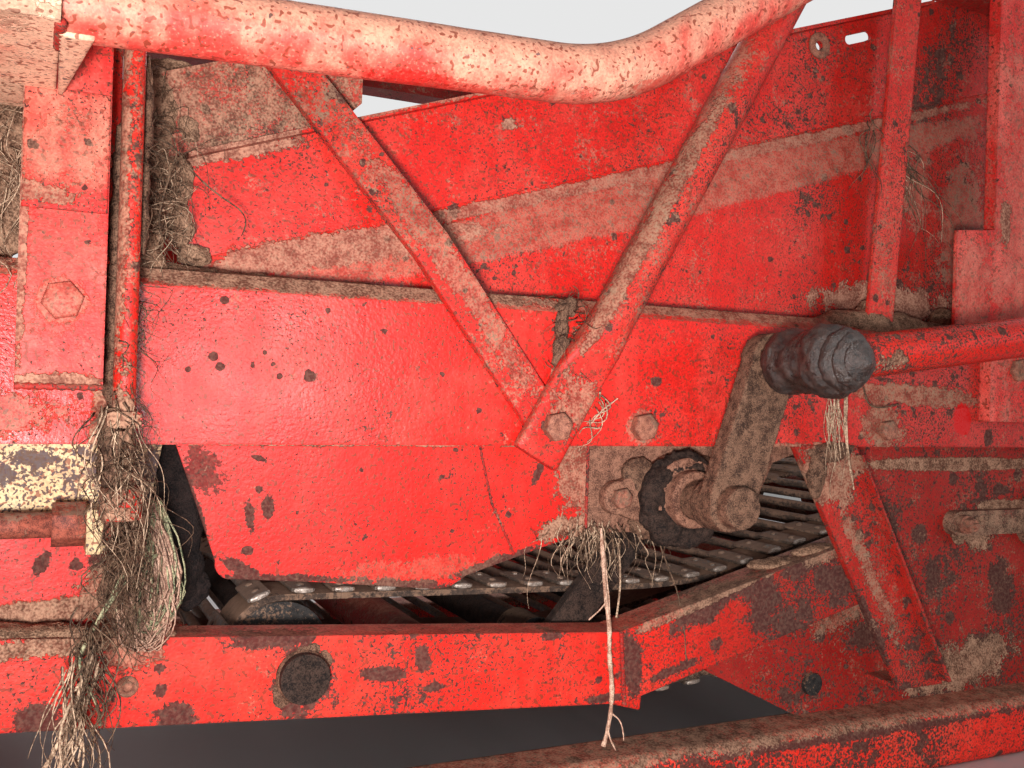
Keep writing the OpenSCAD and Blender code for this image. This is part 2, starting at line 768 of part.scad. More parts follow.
// Square and round cross tubes between the two side frames, given as x and z of
// the middle, and how far in from the beam's outer face each end lies
cross_s = 50;
cross_d = 48;
cross_wall = 5;
chassis_in = chassis_y + chassis_s / 2;
plate_in = plate_y + plate_t;
square_tubes = [[85, chassis_s / 2, chassis_in],
                [frame_len - 85, chassis_s / 2, chassis_in],
                [85, 193, plate_in],
                [top_rail_x0 + cross_s / 2, top_rail_z - cross_s / 2, top_rail_s],
                [top_rail_x1 - cross_s / 2, top_rail_z - cross_s / 2, top_rail_s]];
round_tubes = [[500, 168, plate_y],
               [support_x - 80, 205, plate_in]];
module cross_tubes() color(dark_red) near() {
    for (t = square_tubes)
        translate([t[0], t[2], t[1]]) rotate([-90, 0, 0]) linear_extrude(frame_width - 2 * t[2]) difference() {
            square(cross_s, center = true);
            square(cross_s - 2 * cross_wall, center = true);
        }
    for (t = round_tubes)
        difference() {
            across(t[0], t[1], t[2], frame_width - t[2], cross_d);
            across(t[0], t[1], t[2] - 1, frame_width - t[2] + 1, cross_d - 2 * cross_wall);
        }
}

// Sieving web: three belts and, between them, the rods that they carry, one closed loop
belt_y = [web_y0, (frame_width - belt_w) / 2, web_y1 - belt_w];
module web() color(steel) near() {
    for (y = belt_y)
        upright(y, belt_w) difference() {
            polygon(web_edge(-belt_t / 2));
            polygon(web_edge(belt_t / 2));
        }
    for (side = [0, 1])
        upright(belt_y[side] + belt_w, belt_y[side + 1] - belt_y[side] - belt_w)
            for (i = [0:web_rods - 1])
                translate(web_point((i + 0.5) * web_total / web_rods)) circle(r = rod_r, $fn = 6);
}

// Rubber wheels under each outer belt
module wheel_pair(x, z, r, bore, w) {
    for (y = [web_y0 + (belt_w - w) / 2, web_y1 - belt_w + (belt_w - w) / 2])
        difference() {
            across(x, z, y, y + w, 2 * r);
            across(x, z, y - 1, y + w + 1, bore + 2 * fit_gap);
        }
}

module nose_wheels() color(rubber) near() wheel_pair(nose_x, nose_z, nose_wheel_r, axle_d, wheel_w);
module nose_axle() color(soil) near() {
    across(nose_x, nose_z, -4, frame_width + 4, axle_d);
    for (y = [-4, frame_width - lower_in]) across(nose_x, nose_z, y, y + lower_in + 4, 42);
}

module carried_wheels(x, z, r) {
    wheel_pair(x, z, r, axle_d, 40);
    across(x, z, plate_y - 6, frame_width - plate_y + 6, axle_d);
}
module support_wheels() color(rubber) near() carried_wheels(support_x, support_z, support_r);
module return_wheels() color(rubber) near() carried_wheels(return_x, return_z, return_r);

// Drive shaft with a wheel for each belt and a long stub end on the far side
carrier_boss = 14;
module drive_shaft() color(steel) near() {
    end_y = plate_y - carrier_t - carrier_boss - 4;
    across(drive_x, drive_z, end_y, frame_width - end_y, drive_shaft_d);
    across(drive_x, drive_z, frame_width - end_y, frame_width - end_y + drive_stub, drive_stub_d);
    for (y = belt_y)
        across(drive_x, drive_z, y + 5, y + belt_w - 5, 2 * drive_wheel_r);
}

// Carrier on the side plate: a bar with a round end and the drive shaft's housing
module drive_carrier() {
    t = carrier_t;
    bar_x0 = drive_x - carrier_len;
    translate([0, plate_y - t, 0]) difference() {
        union() {
            upright(0, t) {
                translate([bar_x0, drive_z]) circle(r = 15);
                translate([bar_x0, drive_z - 15]) square([drive_x - bar_x0, 30]);
                translate([drive_x, drive_z]) circle(r = carrier_r);
            }
            across(drive_x, drive_z, -carrier_boss, 0, 64);
            across(bar_x0, drive_z, -8, 0, 22);
        }
        across(drive_x, drive_z, -20, t + 1, drive_shaft_d + 2 * fit_gap);
    }
}
module drive_carriers() color(soil) both() drive_carrier();

// Rocker arm with its hub, pin boss and the stub shaft through the bearing
module rocker_arm() color(soil) near() {
    across(agitator_x, agitator_z, shaft_y0, inner_arm_y, shaft_d);
    across(agitator_x, agitator_z, arm_y0, arm_y1 + 14, 50);
    across(pin_x, pin_z, eye_y0 - 12, arm_y0, pin_d);
    across(pin_x, pin_z, eye_y0 - 14, eye_y0 - 2, 40);
    upright(arm_y0, arm_t) {
        translate([agitator_x, agitator_z]) circle(d = arm_w - 4);
        translate([pin_x, pin_z]) circle(d = arm_w + 4);
        translate([agitator_x, agitator_z]) rotate(-arm_lean) translate([-arm_w / 2, 0]) square([arm_w, arm_len]);
    }
}

// Inner arms and cross tube that carry the agitator wheels, with the far stub shaft
module inner_arm() {
    lean = atan2(beater_z - agitator_z, beater_x - agitator_x);
    reach = norm([beater_x - agitator_x, beater_z - agitator_z]);
    upright(inner_arm_y, inner_arm_t) {
        translate([agitator_x, agitator_z]) circle(r = 26);
        translate([beater_x, beater_z]) circle(r = 22);
        translate([agitator_x, agitator_z]) rotate(lean) translate([0, -inner_arm_w / 2]) square([reach, inner_arm_w]);
    }
}
module agitator_frame() color(soil) {
    both() inner_arm();
    near() across(beater_x, beater_z, inner_arm_y + inner_arm_t, frame_width - inner_arm_y - inner_arm_t, beater_d);
    far() across(agitator_x, agitator_z, -6, inner_arm_y, shaft_d);
}
module agitator_wheels() color(rubber) near() wheel_pair(beater_x, beater_z, agitator_wheel_r, beater_d, wheel_w);

// Rubber-bushed eye of the drive rod, in its grease boot
module rod_eye() color(rubber) near() difference() {
    union() {
        across(pin_x, pin_z, eye_y0, eye_y1, eye_d);
        across(pin_x, pin_z, eye_y0 + 12, eye_y0 + 20, eye_d + 4);
        across(pin_x, pin_z, eye_y1 - 24, eye_y1 - 16, eye_d + 4);
    }
    across(pin_x, pin_z, eye_y0 - 1, eye_y1 + 1, pin_d + 2 * run_gap);
}

// Drive rod: a tube with a plain eye at its rear end
far_eye_bore = 25;
module drive_rod() color(red) near() {
    dir = [cos(rod_rise), 0, sin(rod_rise)];
    start = [pin_x, rod_y, pin_z];
    end = start + rod_len * dir;
    difference() {
        union() {
            bar(start + (eye_d / 2 - 1) * dir, end, rod_d);
            across(end[0], end[2], rod_y - 28, rod_y + 28, 58);
        }
        across(end[0], end[2], rod_y - 30, rod_y + 30, far_eye_bore);
        across(pin_x, pin_z, eye_y0 - 1, eye_y1 + 1, eye_d + 4.4);
    }
}

main_beam_near();
main_beam_far();
lower_beam_near();
lower_beam_far();
chassis_tube_near();
chassis_tube_far();
legs();
front_side_plates();
rear_side_plate_near();
rear_side_plate_far();
skirts();
bearing_plates();
flange_bearings();
struts();
front_brackets();
tensioners();
panel_lower_near();
panel_lower_far();
panel_upper_near();
panel_upper_far();
hood_plates();
front_post_near();
front_post_far();
rear_post_near();
rear_post_far();
angle_posts();
top_rail_near();
top_rail_far();
tube_braces();
flat_braces();
rail_bracket();
guard_rail();
control_rod();
cross_tubes();
web();
nose_axle();
nose_wheels();
support_wheels();
return_wheels();
drive_shaft();
drive_carriers();
rocker_arm();
agitator_frame();
agitator_wheels();
rod_eye();
drive_rod();
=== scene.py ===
"""Dresses the web-frame section of a potato digger: paint, soil, web, roots and fasteners."""

import logging
import math
from dataclasses import dataclass
from enum import Enum
from functools import partialmethod
from typing import Callable, Sequence

import bmesh
import bpy
import numpy as np
from mathutils import Matrix, Vector


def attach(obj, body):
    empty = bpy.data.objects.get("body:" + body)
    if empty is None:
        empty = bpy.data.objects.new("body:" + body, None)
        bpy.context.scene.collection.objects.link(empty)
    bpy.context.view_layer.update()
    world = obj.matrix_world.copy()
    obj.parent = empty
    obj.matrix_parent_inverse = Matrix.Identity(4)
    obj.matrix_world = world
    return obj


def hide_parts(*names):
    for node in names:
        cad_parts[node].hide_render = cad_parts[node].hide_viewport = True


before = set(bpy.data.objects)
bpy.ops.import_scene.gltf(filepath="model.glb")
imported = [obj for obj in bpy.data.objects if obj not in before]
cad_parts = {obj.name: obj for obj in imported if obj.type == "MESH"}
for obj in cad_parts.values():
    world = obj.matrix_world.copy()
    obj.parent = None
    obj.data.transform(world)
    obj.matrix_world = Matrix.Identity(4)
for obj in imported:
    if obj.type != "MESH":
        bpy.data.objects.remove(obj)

LOG = logging.getLogger("web_frame")

# Half of the frame's length, depth of the origin behind the near beam, and frame width, in mm
HALF_LENGTH = 720.0
MID_DEPTH = 322.5
FRAME_WIDTH = 800.0
MM_A_METRE = 1000.0
# Pieces further out than this depth in mm are on the near side only; the others have a far twin
NEAR_ONLY_DEPTH = -50.0
# In metres: points this close are one, in a new piece and in a remeshed copy; shorter edges are dropped
WELD_WITHIN, CORE_WELD_WITHIN, DROP_BELOW = 2e-6, 1e-6, 1e-7
# Creases in degrees: of turned metal, of bolt heads, of caked soil, and none at all on soil and roots
METAL_CREASE, HEAD_CREASE, CAKED_CREASE, NO_CREASE = 38.0, 28.0, 60.0, 180.0

# Points along a root strand, a loop of twine and a stem, and how far in mm strands keep from the frame's ends
STRAND_POINTS, LOOP_POINTS, STEM_POINTS, END_MARGIN = 13, 23, 48, 3.0
# Scales of noise: grain of paint, rust freckles, pits, sheen of paint and of raw surfaces, and dents
GRAIN_SCALE, FRECKLE_SCALE, PIT_SCALE = 470.0, 300.0, 260.0
SHEEN_SCALE, RAW_SHEEN_SCALE, DENT_SCALE = 24.0, 55.0, 9.0

Colour = tuple[float, float, float]
Point = tuple[float, float, float]

# Directions: to the rear, to the far side, up, and out of the near side
ALONG: Point = (1.0, 0.0, 0.0)
ACROSS: Point = (0.0, 1.0, 0.0)
UP: Point = (0.0, 0.0, 1.0)
OUTWARD: Point = (0.0, -1.0, 0.0)
# A direction that no strand follows, so the section of a wandering strand doesn't flip
SKEW: Point = (0.11, 0.73, 0.41)


def row(points: Sequence) -> np.ndarray:
    """Turns station, depth and height in mm into row metres: less the origin, over a thousand.

    Args:
        points: One point or an array of points, with station, depth and height last.

    Returns:
        The points in metres, in the same shape.
    """
    return (np.asarray(points, float) - np.array([HALF_LENGTH, MID_DEPTH, 0.0])) / MM_A_METRE


def srgb(red: int, green: int, blue: int) -> Colour:
    """Turns screen values of 0 to 255 into linear light.

    Args:
        red: Red on screen.
        green: Green on screen.
        blue: Blue on screen.

    Returns:
        The linear colour.
    """
    part = np.array([red, green, blue], float) / 255.0
    low, high = part / 12.92, ((part + 0.055) / 1.055) ** 2.4
    return tuple(float(v) for v in np.where(part <= 0.04045, low, high))


def ease(value: np.ndarray, low: float, high: float) -> np.ndarray:
    """Smooth step: 0 below low, 1 above high, and 3t^2 - 2t^3 between.

    Args:
        value: Where to read the step.
        low: Start of the step.
        high: End of the step.

    Returns:
        The step's values.
    """
    t = np.clip((np.asarray(value, float) - low) / (high - low), 0.0, 1.0)
    return t * t * (3.0 - 2.0 * t)


def lattice(cells: np.ndarray, seed: int) -> np.ndarray:
    """A fixed random value from 0 to 1 for each whole-number cell, by multiply and xor.

    Args:
        cells: Whole numbers, three last.
        seed: Picks the pattern.

    Returns:
        One value a cell.
    """
    c = cells.astype(np.uint64)
    h = c[..., 0] * np.uint64(73856093) ^ c[..., 1] * np.uint64(19349663) ^ c[..., 2] * np.uint64(83492791)
    h ^= np.uint64(seed * 2654435761 % 2**32)
    h = (h ^ (h >> np.uint64(13))) * np.uint64(1274126177)
    return ((h ^ (h >> np.uint64(16))) & np.uint64(0xFFFFFF)).astype(float) / float(0xFFFFFF)


def lumps(points: np.ndarray, size: float, seed: int, octaves: int = 3) -> np.ndarray:
    """Value noise: smooth blend of the eight lattice corners, summed over halved sizes.

    Args:
        points: Points, three last.
        size: Width of the largest lump.
        seed: Picks the pattern.
        octaves: How many times the size is halved.

    Returns:
        Values from about -1 to 1.
    """
    total, weight = np.zeros(points.shape[:-1]), 0.0
    for k in range(octaves):
        place = points / size * 2.0**k + 4096.0
        cell = np.floor(place)
        part = place - cell
        part = part * part * (3.0 - 2.0 * part)
        value = np.zeros(points.shape[:-1])
        for corner in np.ndindex(2, 2, 2):
            pick = np.array(corner)
            share = np.prod(np.where(pick == 1, part, 1.0 - part), axis=-1)
            value += share * lattice(cell + pick, seed + 31 * k)
        total += value * 0.5**k
        weight += 0.5**k
    return total / weight * 2.0 - 1.0


def unit(vectors: np.ndarray) -> np.ndarray:
    """Vectors of length one, three last."""
    return vectors / np.maximum(np.linalg.norm(vectors, axis=-1, keepdims=True), 1e-12)


def section(sides: int, power: float | np.ndarray = 2.0) -> np.ndarray:
    """Superellipse of radius one: |x|^n + |y|^n = 1, so 2 is a circle and 8 nearly a square.

    Args:
        sides: Points round the section.
        power: The exponent n, one number or one for each section.

    Returns:
        Points, with x and y last.
    """
    a = np.linspace(0.0, 2.0 * np.pi, sides, endpoint=False)
    n = np.asarray(power, float)[..., None]
    c, s = np.cos(a), np.sin(a)
    r = (np.abs(c) ** n + np.abs(s) ** n) ** (-1.0 / n)
    return np.stack([r * c, r * s], axis=-1)


def tube(path: np.ndarray, outline: np.ndarray, across: Point = ACROSS) -> np.ndarray:
    """Carries an outline along a path: P(i, j) = path_i + x_ij n_i + y_ij b_i.

    b is the part of the across direction that is square to the path, and n is square to both.

    Args:
        path: Points along each path, with points and xyz last.
        outline: Outline points, the same or one set for each path point, with sides and xy last.
        across: Direction of the outline's y.

    Returns:
        A grid of points: path point, side, xyz.
    """
    t = unit(np.gradient(path, axis=-2))
    n = unit(np.cross(np.broadcast_to(np.array(across), t.shape), t))
    b = np.cross(t, n)
    x, y = outline[..., 0, None], outline[..., 1, None]
    return path[..., None, :] + x * n[..., None, :] + y * b[..., None, :]


def turned(profile: Sequence, centre: Point, axis: Point, sides: int = 32,
           hexed: Sequence[int] = ()) -> np.ndarray:
    """Turns a profile round an axis: P(i, a) = centre + d_i axis + r_i (cos a u + sin a v).

    In the rows named as hexed, r is divided by cos of the angle from the nearest flat.

    Args:
        profile: Rows of distance along the axis and radius, in mm.
        centre: Station, depth and height of the axis's start, in mm.
        axis: Direction of the axis.
        sides: Points round the axis.
        hexed: Rows whose outline is a hexagon.

    Returns:
        A grid of points in mm.
    """
    rows = np.asarray(profile, float)
    w = unit(np.asarray(axis, float))
    u = unit(np.cross(w, np.array([0.31, 0.17, 0.93])))
    v = np.cross(w, u)
    a = np.linspace(0.0, 2.0 * np.pi, sides, endpoint=False)
    flat = 1.0 / np.cos((a + np.pi / 6.0) % (np.pi / 3.0) - np.pi / 6.0)
    radius = np.repeat(rows[:, 1:2], sides, axis=1)
    for i in hexed:
        radius[i] *= flat
    ring = np.cos(a)[:, None] * u + np.sin(a)[:, None] * v
    return np.asarray(centre, float) + rows[:, 0, None, None] * w + radius[..., None] * ring


def twin(grid: np.ndarray) -> np.ndarray:
    """The same grid on the far side: depth becomes the frame's width less the depth."""
    return grid * np.array([1.0, -1.0, 1.0]) + np.array([0.0, FRAME_WIDTH, 0.0])


def wrapped_quads(rows: int, sides: int, ring: bool = False) -> np.ndarray:
    """Quads of a grid whose columns close on themselves, and whose rows may too.

    Args:
        rows: Rows of the grid.
        sides: Columns of the grid.
        ring: Whether the last row joins the first.

    Returns:
        Four corner numbers a quad.
    """
    r, c = np.meshgrid(np.arange(rows if ring else rows - 1), np.arange(sides), indexing="ij")
    below, beside = (r + 1) % rows, (c + 1) % sides
    quads = np.stack([r * sides + c, r * sides + beside, below * sides + beside, below * sides + c], axis=-1)
    return quads.reshape(-1, 4)


class Shell:
    """Closed grid surfaces, in mm by station, depth and height, gathered into one piece."""

    def __init__(self) -> None:
        """Starts with no surface."""
        self.points: list[np.ndarray] = []
        self.quads: list[np.ndarray] = []
        self.count = 0

    def add(self, grids: np.ndarray, ring: bool = False) -> "Shell":
        """Adds one grid, or many of the same size: rows, sides, xyz last.

        Args:
            grids: The grid or grids.
            ring: Whether the last row joins the first.

        Returns:
            This shell.
        """
        rows, sides = grids.shape[-3:-1]
        many = grids.reshape(-1, rows * sides, 3)
        quads = wrapped_quads(rows, sides, ring)
        starts = self.count + np.arange(len(many))[:, None, None] * rows * sides
        self.quads.append((quads[None] + starts).reshape(-1, 4))
        self.points.append(many.reshape(-1, 3))
        self.count += many.shape[0] * rows * sides
        return self

    def capped(self, grids: np.ndarray) -> "Shell":
        """Adds grids whose end rows are closed by a point in their middle."""
        ends = (grids[..., :1, :, :], grids[..., -1:, :, :])
        first, last = (np.broadcast_to(end.mean(axis=-2, keepdims=True), end.shape) for end in ends)
        return self.add(np.concatenate([first, grids, last], axis=-3))

    def piece(self, name: str, finish: bpy.types.Material, body: str, slot: str,
              crease: float = METAL_CREASE) -> bpy.types.Object:
        """Makes the mesh object, closes its seams and poles, and sets it on its body.

        Args:
            name: Name of the piece.
            finish: Its material.
            body: The body that it rides on.
            slot: The record's material slot; not used.
            crease: Angle in degrees above which an edge stays sharp.

        Returns:
            The object.
        """
        points, quads = row(np.concatenate(self.points)), np.concatenate(self.quads)
        mesh = bpy.data.meshes.new(name)
        mesh.vertices.add(len(points))
        mesh.vertices.foreach_set("co", points.astype(np.float32).ravel())
        mesh.loops.add(quads.size)
        mesh.loops.foreach_set("vertex_index", quads.astype(np.int32).ravel())
        mesh.polygons.add(len(quads))
        mesh.polygons.foreach_set("loop_start", np.arange(0, quads.size, 4, dtype=np.int32))
        mesh.update(calc_edges=True)
        mesh.validate()
        work = bmesh.new()
        work.from_mesh(mesh)
        bmesh.ops.remove_doubles(work, verts=work.verts, dist=WELD_WITHIN)
        bmesh.ops.dissolve_degenerate(work, edges=work.edges, dist=DROP_BELOW)
        bmesh.ops.recalc_face_normals(work, faces=work.faces)
        work.to_mesh(mesh)
        work.free()
        return settle(bpy.data.objects.new(name, mesh), finish, body, crease)


def settle(obj: bpy.types.Object, finish: bpy.types.Material, body: str,
           crease: float) -> bpy.types.Object:
    """Links an object, shades it smooth up to an angle, and sets it on its body.

    Args:
        obj: The new object, with its mesh in place.
        finish: Its material.
        body: The body that it rides on.
        crease: Angle in degrees above which an edge stays sharp.

    Returns:
        The same object.
    """
    bpy.context.collection.objects.link(obj)
    obj.data.materials.clear()
    obj.data.materials.append(finish)
    obj.data.shade_smooth()
    obj.data.set_sharp_from_angle(angle=math.radians(crease))
    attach(obj, body)
    LOG.info("%s: %d faces on %s", obj.name, len(obj.data.polygons), body)
    return obj


def caked(node: str, voxel: float, depth: float, size: float, seed: int) -> bpy.types.Mesh:
    """Copy of a node under a crust of soil: the copy is remeshed, then moved out along its normals.

    Each point moves by depth times (0.35 + 0.65 lumps), so the crust is uneven but never thin.

    Args:
        node: The node that is copied.
        voxel: Width of the remesh in mm.
        depth: Greatest depth of the crust in mm.
        size: Width of the largest lumps in mm.
        seed: Picks the pattern.

    Returns:
        The new mesh.
    """
    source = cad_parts[node]
    copy = bpy.data.objects.new(node + "_core", source.data.copy())
    bpy.context.collection.objects.link(copy)
    work = bmesh.new()
    work.from_mesh(copy.data)
    bmesh.ops.remove_doubles(work, verts=work.verts, dist=CORE_WELD_WITHIN)
    work.to_mesh(copy.data)
    work.free()
    remesh = copy.modifiers.new("even", "REMESH")
    remesh.mode = "VOXEL"
    remesh.voxel_size = voxel / MM_A_METRE
    remesh.use_smooth_shade = True
    mesh = bpy.data.meshes.new_from_object(copy.evaluated_get(bpy.context.evaluated_depsgraph_get()))
    bpy.data.objects.remove(copy)
    count = len(mesh.vertices)
    points, normals = np.empty(count * 3), np.empty(count * 3)
    mesh.vertices.foreach_get("co", points)
    mesh.vertices.foreach_get("normal", normals)
    points, normals = points.reshape(-1, 3), normals.reshape(-1, 3)
    crust = depth / MM_A_METRE * (0.35 + 0.65 * lumps(points * MM_A_METRE, size, seed))
    points = points + normals * crust[:, None]
    mesh.vertices.foreach_set("co", points.ravel())
    mesh.update()
    return mesh


class Net:
    """Adds shader nodes to one tree and joins them."""

    def __init__(self, tree: bpy.types.NodeTree) -> None:
        """Keeps the tree."""
        self.tree = tree

    def put(self, socket: bpy.types.NodeSocket, value: object) -> None:
        """Joins another socket to this one, or sets its value."""
        if isinstance(value, bpy.types.NodeSocket):
            self.tree.links.new(value, socket)
        elif value is not None:
            socket.default_value = (*value, 1.0) if socket.type == "RGBA" and len(value) == 3 else value

    def add(self, kind: str, *values: object, named: dict[str, object] | None = None,
            **settings: object) -> bpy.types.Node:
        """Adds a node, sets its properties, and fills its inputs in order and by name.

        Args:
            kind: Node type without its prefix.
            values: Values or sockets for the first inputs.
            named: Values or sockets by input name.
            settings: Properties of the node.

        Returns:
            The node.
        """
        node = self.tree.nodes.new("ShaderNode" + kind)
        for key, value in settings.items():
            setattr(node, key, value)
        for socket, value in zip(node.inputs, values):
            self.put(socket, value)
        for key, value in (named or {}).items():
            self.put(node.inputs[key], value)
        return node

    def math(self, operation: str, *values: object) -> bpy.types.NodeSocket:
        """Adds a Math node and gives its result."""
        return self.add("Math", *values, operation=operation).outputs[0]

    # Arithmetic by name: fused is the first value times the second, plus the third
    times = partialmethod(math, "MULTIPLY")
    plus = partialmethod(math, "ADD")
    less = partialmethod(math, "SUBTRACT")
    most = partialmethod(math, "MAXIMUM")
    fused = partialmethod(math, "MULTIPLY_ADD")

    def step(self, value: object, low: object, high: object, top: float = 1.0) -> bpy.types.NodeSocket:
        """Smooth step from 0 at low to top at high."""
        node = self.add("MapRange", value, low, high, 0.0, top, interpolation_type="SMOOTHSTEP")
        return node.outputs[0]

    def noise(self, place: object, scale: object, detail: float, rough: float = 0.6) -> bpy.types.NodeSocket:
        """Adds a noise texture and gives its value."""
        named = {"Vector": place, "Scale": scale, "Detail": detail, "Roughness": rough}
        return self.add("TexNoise", named=named).outputs["Fac"]

    def mix(self, share: object, first: object, second: object) -> bpy.types.NodeSocket:
        """Mixes two colours and gives the result."""
        node = self.add("Mix", data_type="RGBA", clamp_factor=True)
        for index, value in ((0, share), (6, first), (7, second)):
            self.put(node.inputs[index], value)
        return node.outputs[2]

    def group(self, tree: bpy.types.NodeTree, **values: object) -> bpy.types.Node:
        """Places a group and fills its inputs by name."""
        node = self.tree.nodes.new("ShaderNodeGroup")
        node.node_tree = tree
        for key, value in values.items():
            self.put(node.inputs[key], value)
        return node

    def place(self) -> bpy.types.NodeSocket:
        """Object coordinates."""
        return self.add("TexCoord").outputs["Object"]

    def lean(self) -> bpy.types.NodeSocket:
        """How far the surface faces up: z of its normal."""
        return self.add("SeparateXYZ", self.add("NewGeometry").outputs["Normal"]).outputs["Z"]

    def surface(self, named: dict[str, object]) -> None:
        """Adds the Principled shader with these inputs, and joins it to the material's output."""
        shader = self.add("BsdfPrincipled", named=named)
        self.put(self.add("OutputMaterial").inputs[0], shader.outputs[0])


def blank_material(name: str) -> tuple[bpy.types.Material, Net]:
    """A material without nodes, and the net that fills it."""
    material = bpy.data.materials.new(name)
    material.use_nodes = True
    material.node_tree.nodes.clear()
    return material, Net(material.node_tree)


def shader_group(name: str, inputs: Sequence[tuple], outputs: Sequence[tuple],
                 fill: Callable) -> bpy.types.NodeTree:
    """Builds a shader node group.

    Args:
        name: Name of the group.
        inputs: Name, socket type and default of each input.
        outputs: Name and socket type of each output.
        fill: Function of the net and the inputs by name that gives the outputs by name.

    Returns:
        The group's tree.
    """
    tree = bpy.data.node_groups.new(name, "ShaderNodeTree")
    for label, kind, default in inputs:
        socket = tree.interface.new_socket(label, in_out="INPUT", socket_type="NodeSocket" + kind)
        socket.default_value = (*default, 1.0) if kind == "Color" else default
    for label, kind in outputs:
        tree.interface.new_socket(label, in_out="OUTPUT", socket_type="NodeSocket" + kind)
    net = Net(tree)
    entry, end = tree.nodes.new("NodeGroupInput"), tree.nodes.new("NodeGroupOutput")
    for label, value in fill(net, {label: entry.outputs[label] for label, _, _ in inputs}).items():
        net.put(end.inputs[label], value)
    return tree


@dataclass(frozen=True)
class Patch:
    """A place where soil or bare metal covers the paint: middle and half sizes in mm, rise in degrees."""

    station: float
    depth: float
    height: float
    along: float
    tall: float
    turn: float = 0.0
    ragged: float = 0.5
    share: float = 1.0
    deep: float = 30.0


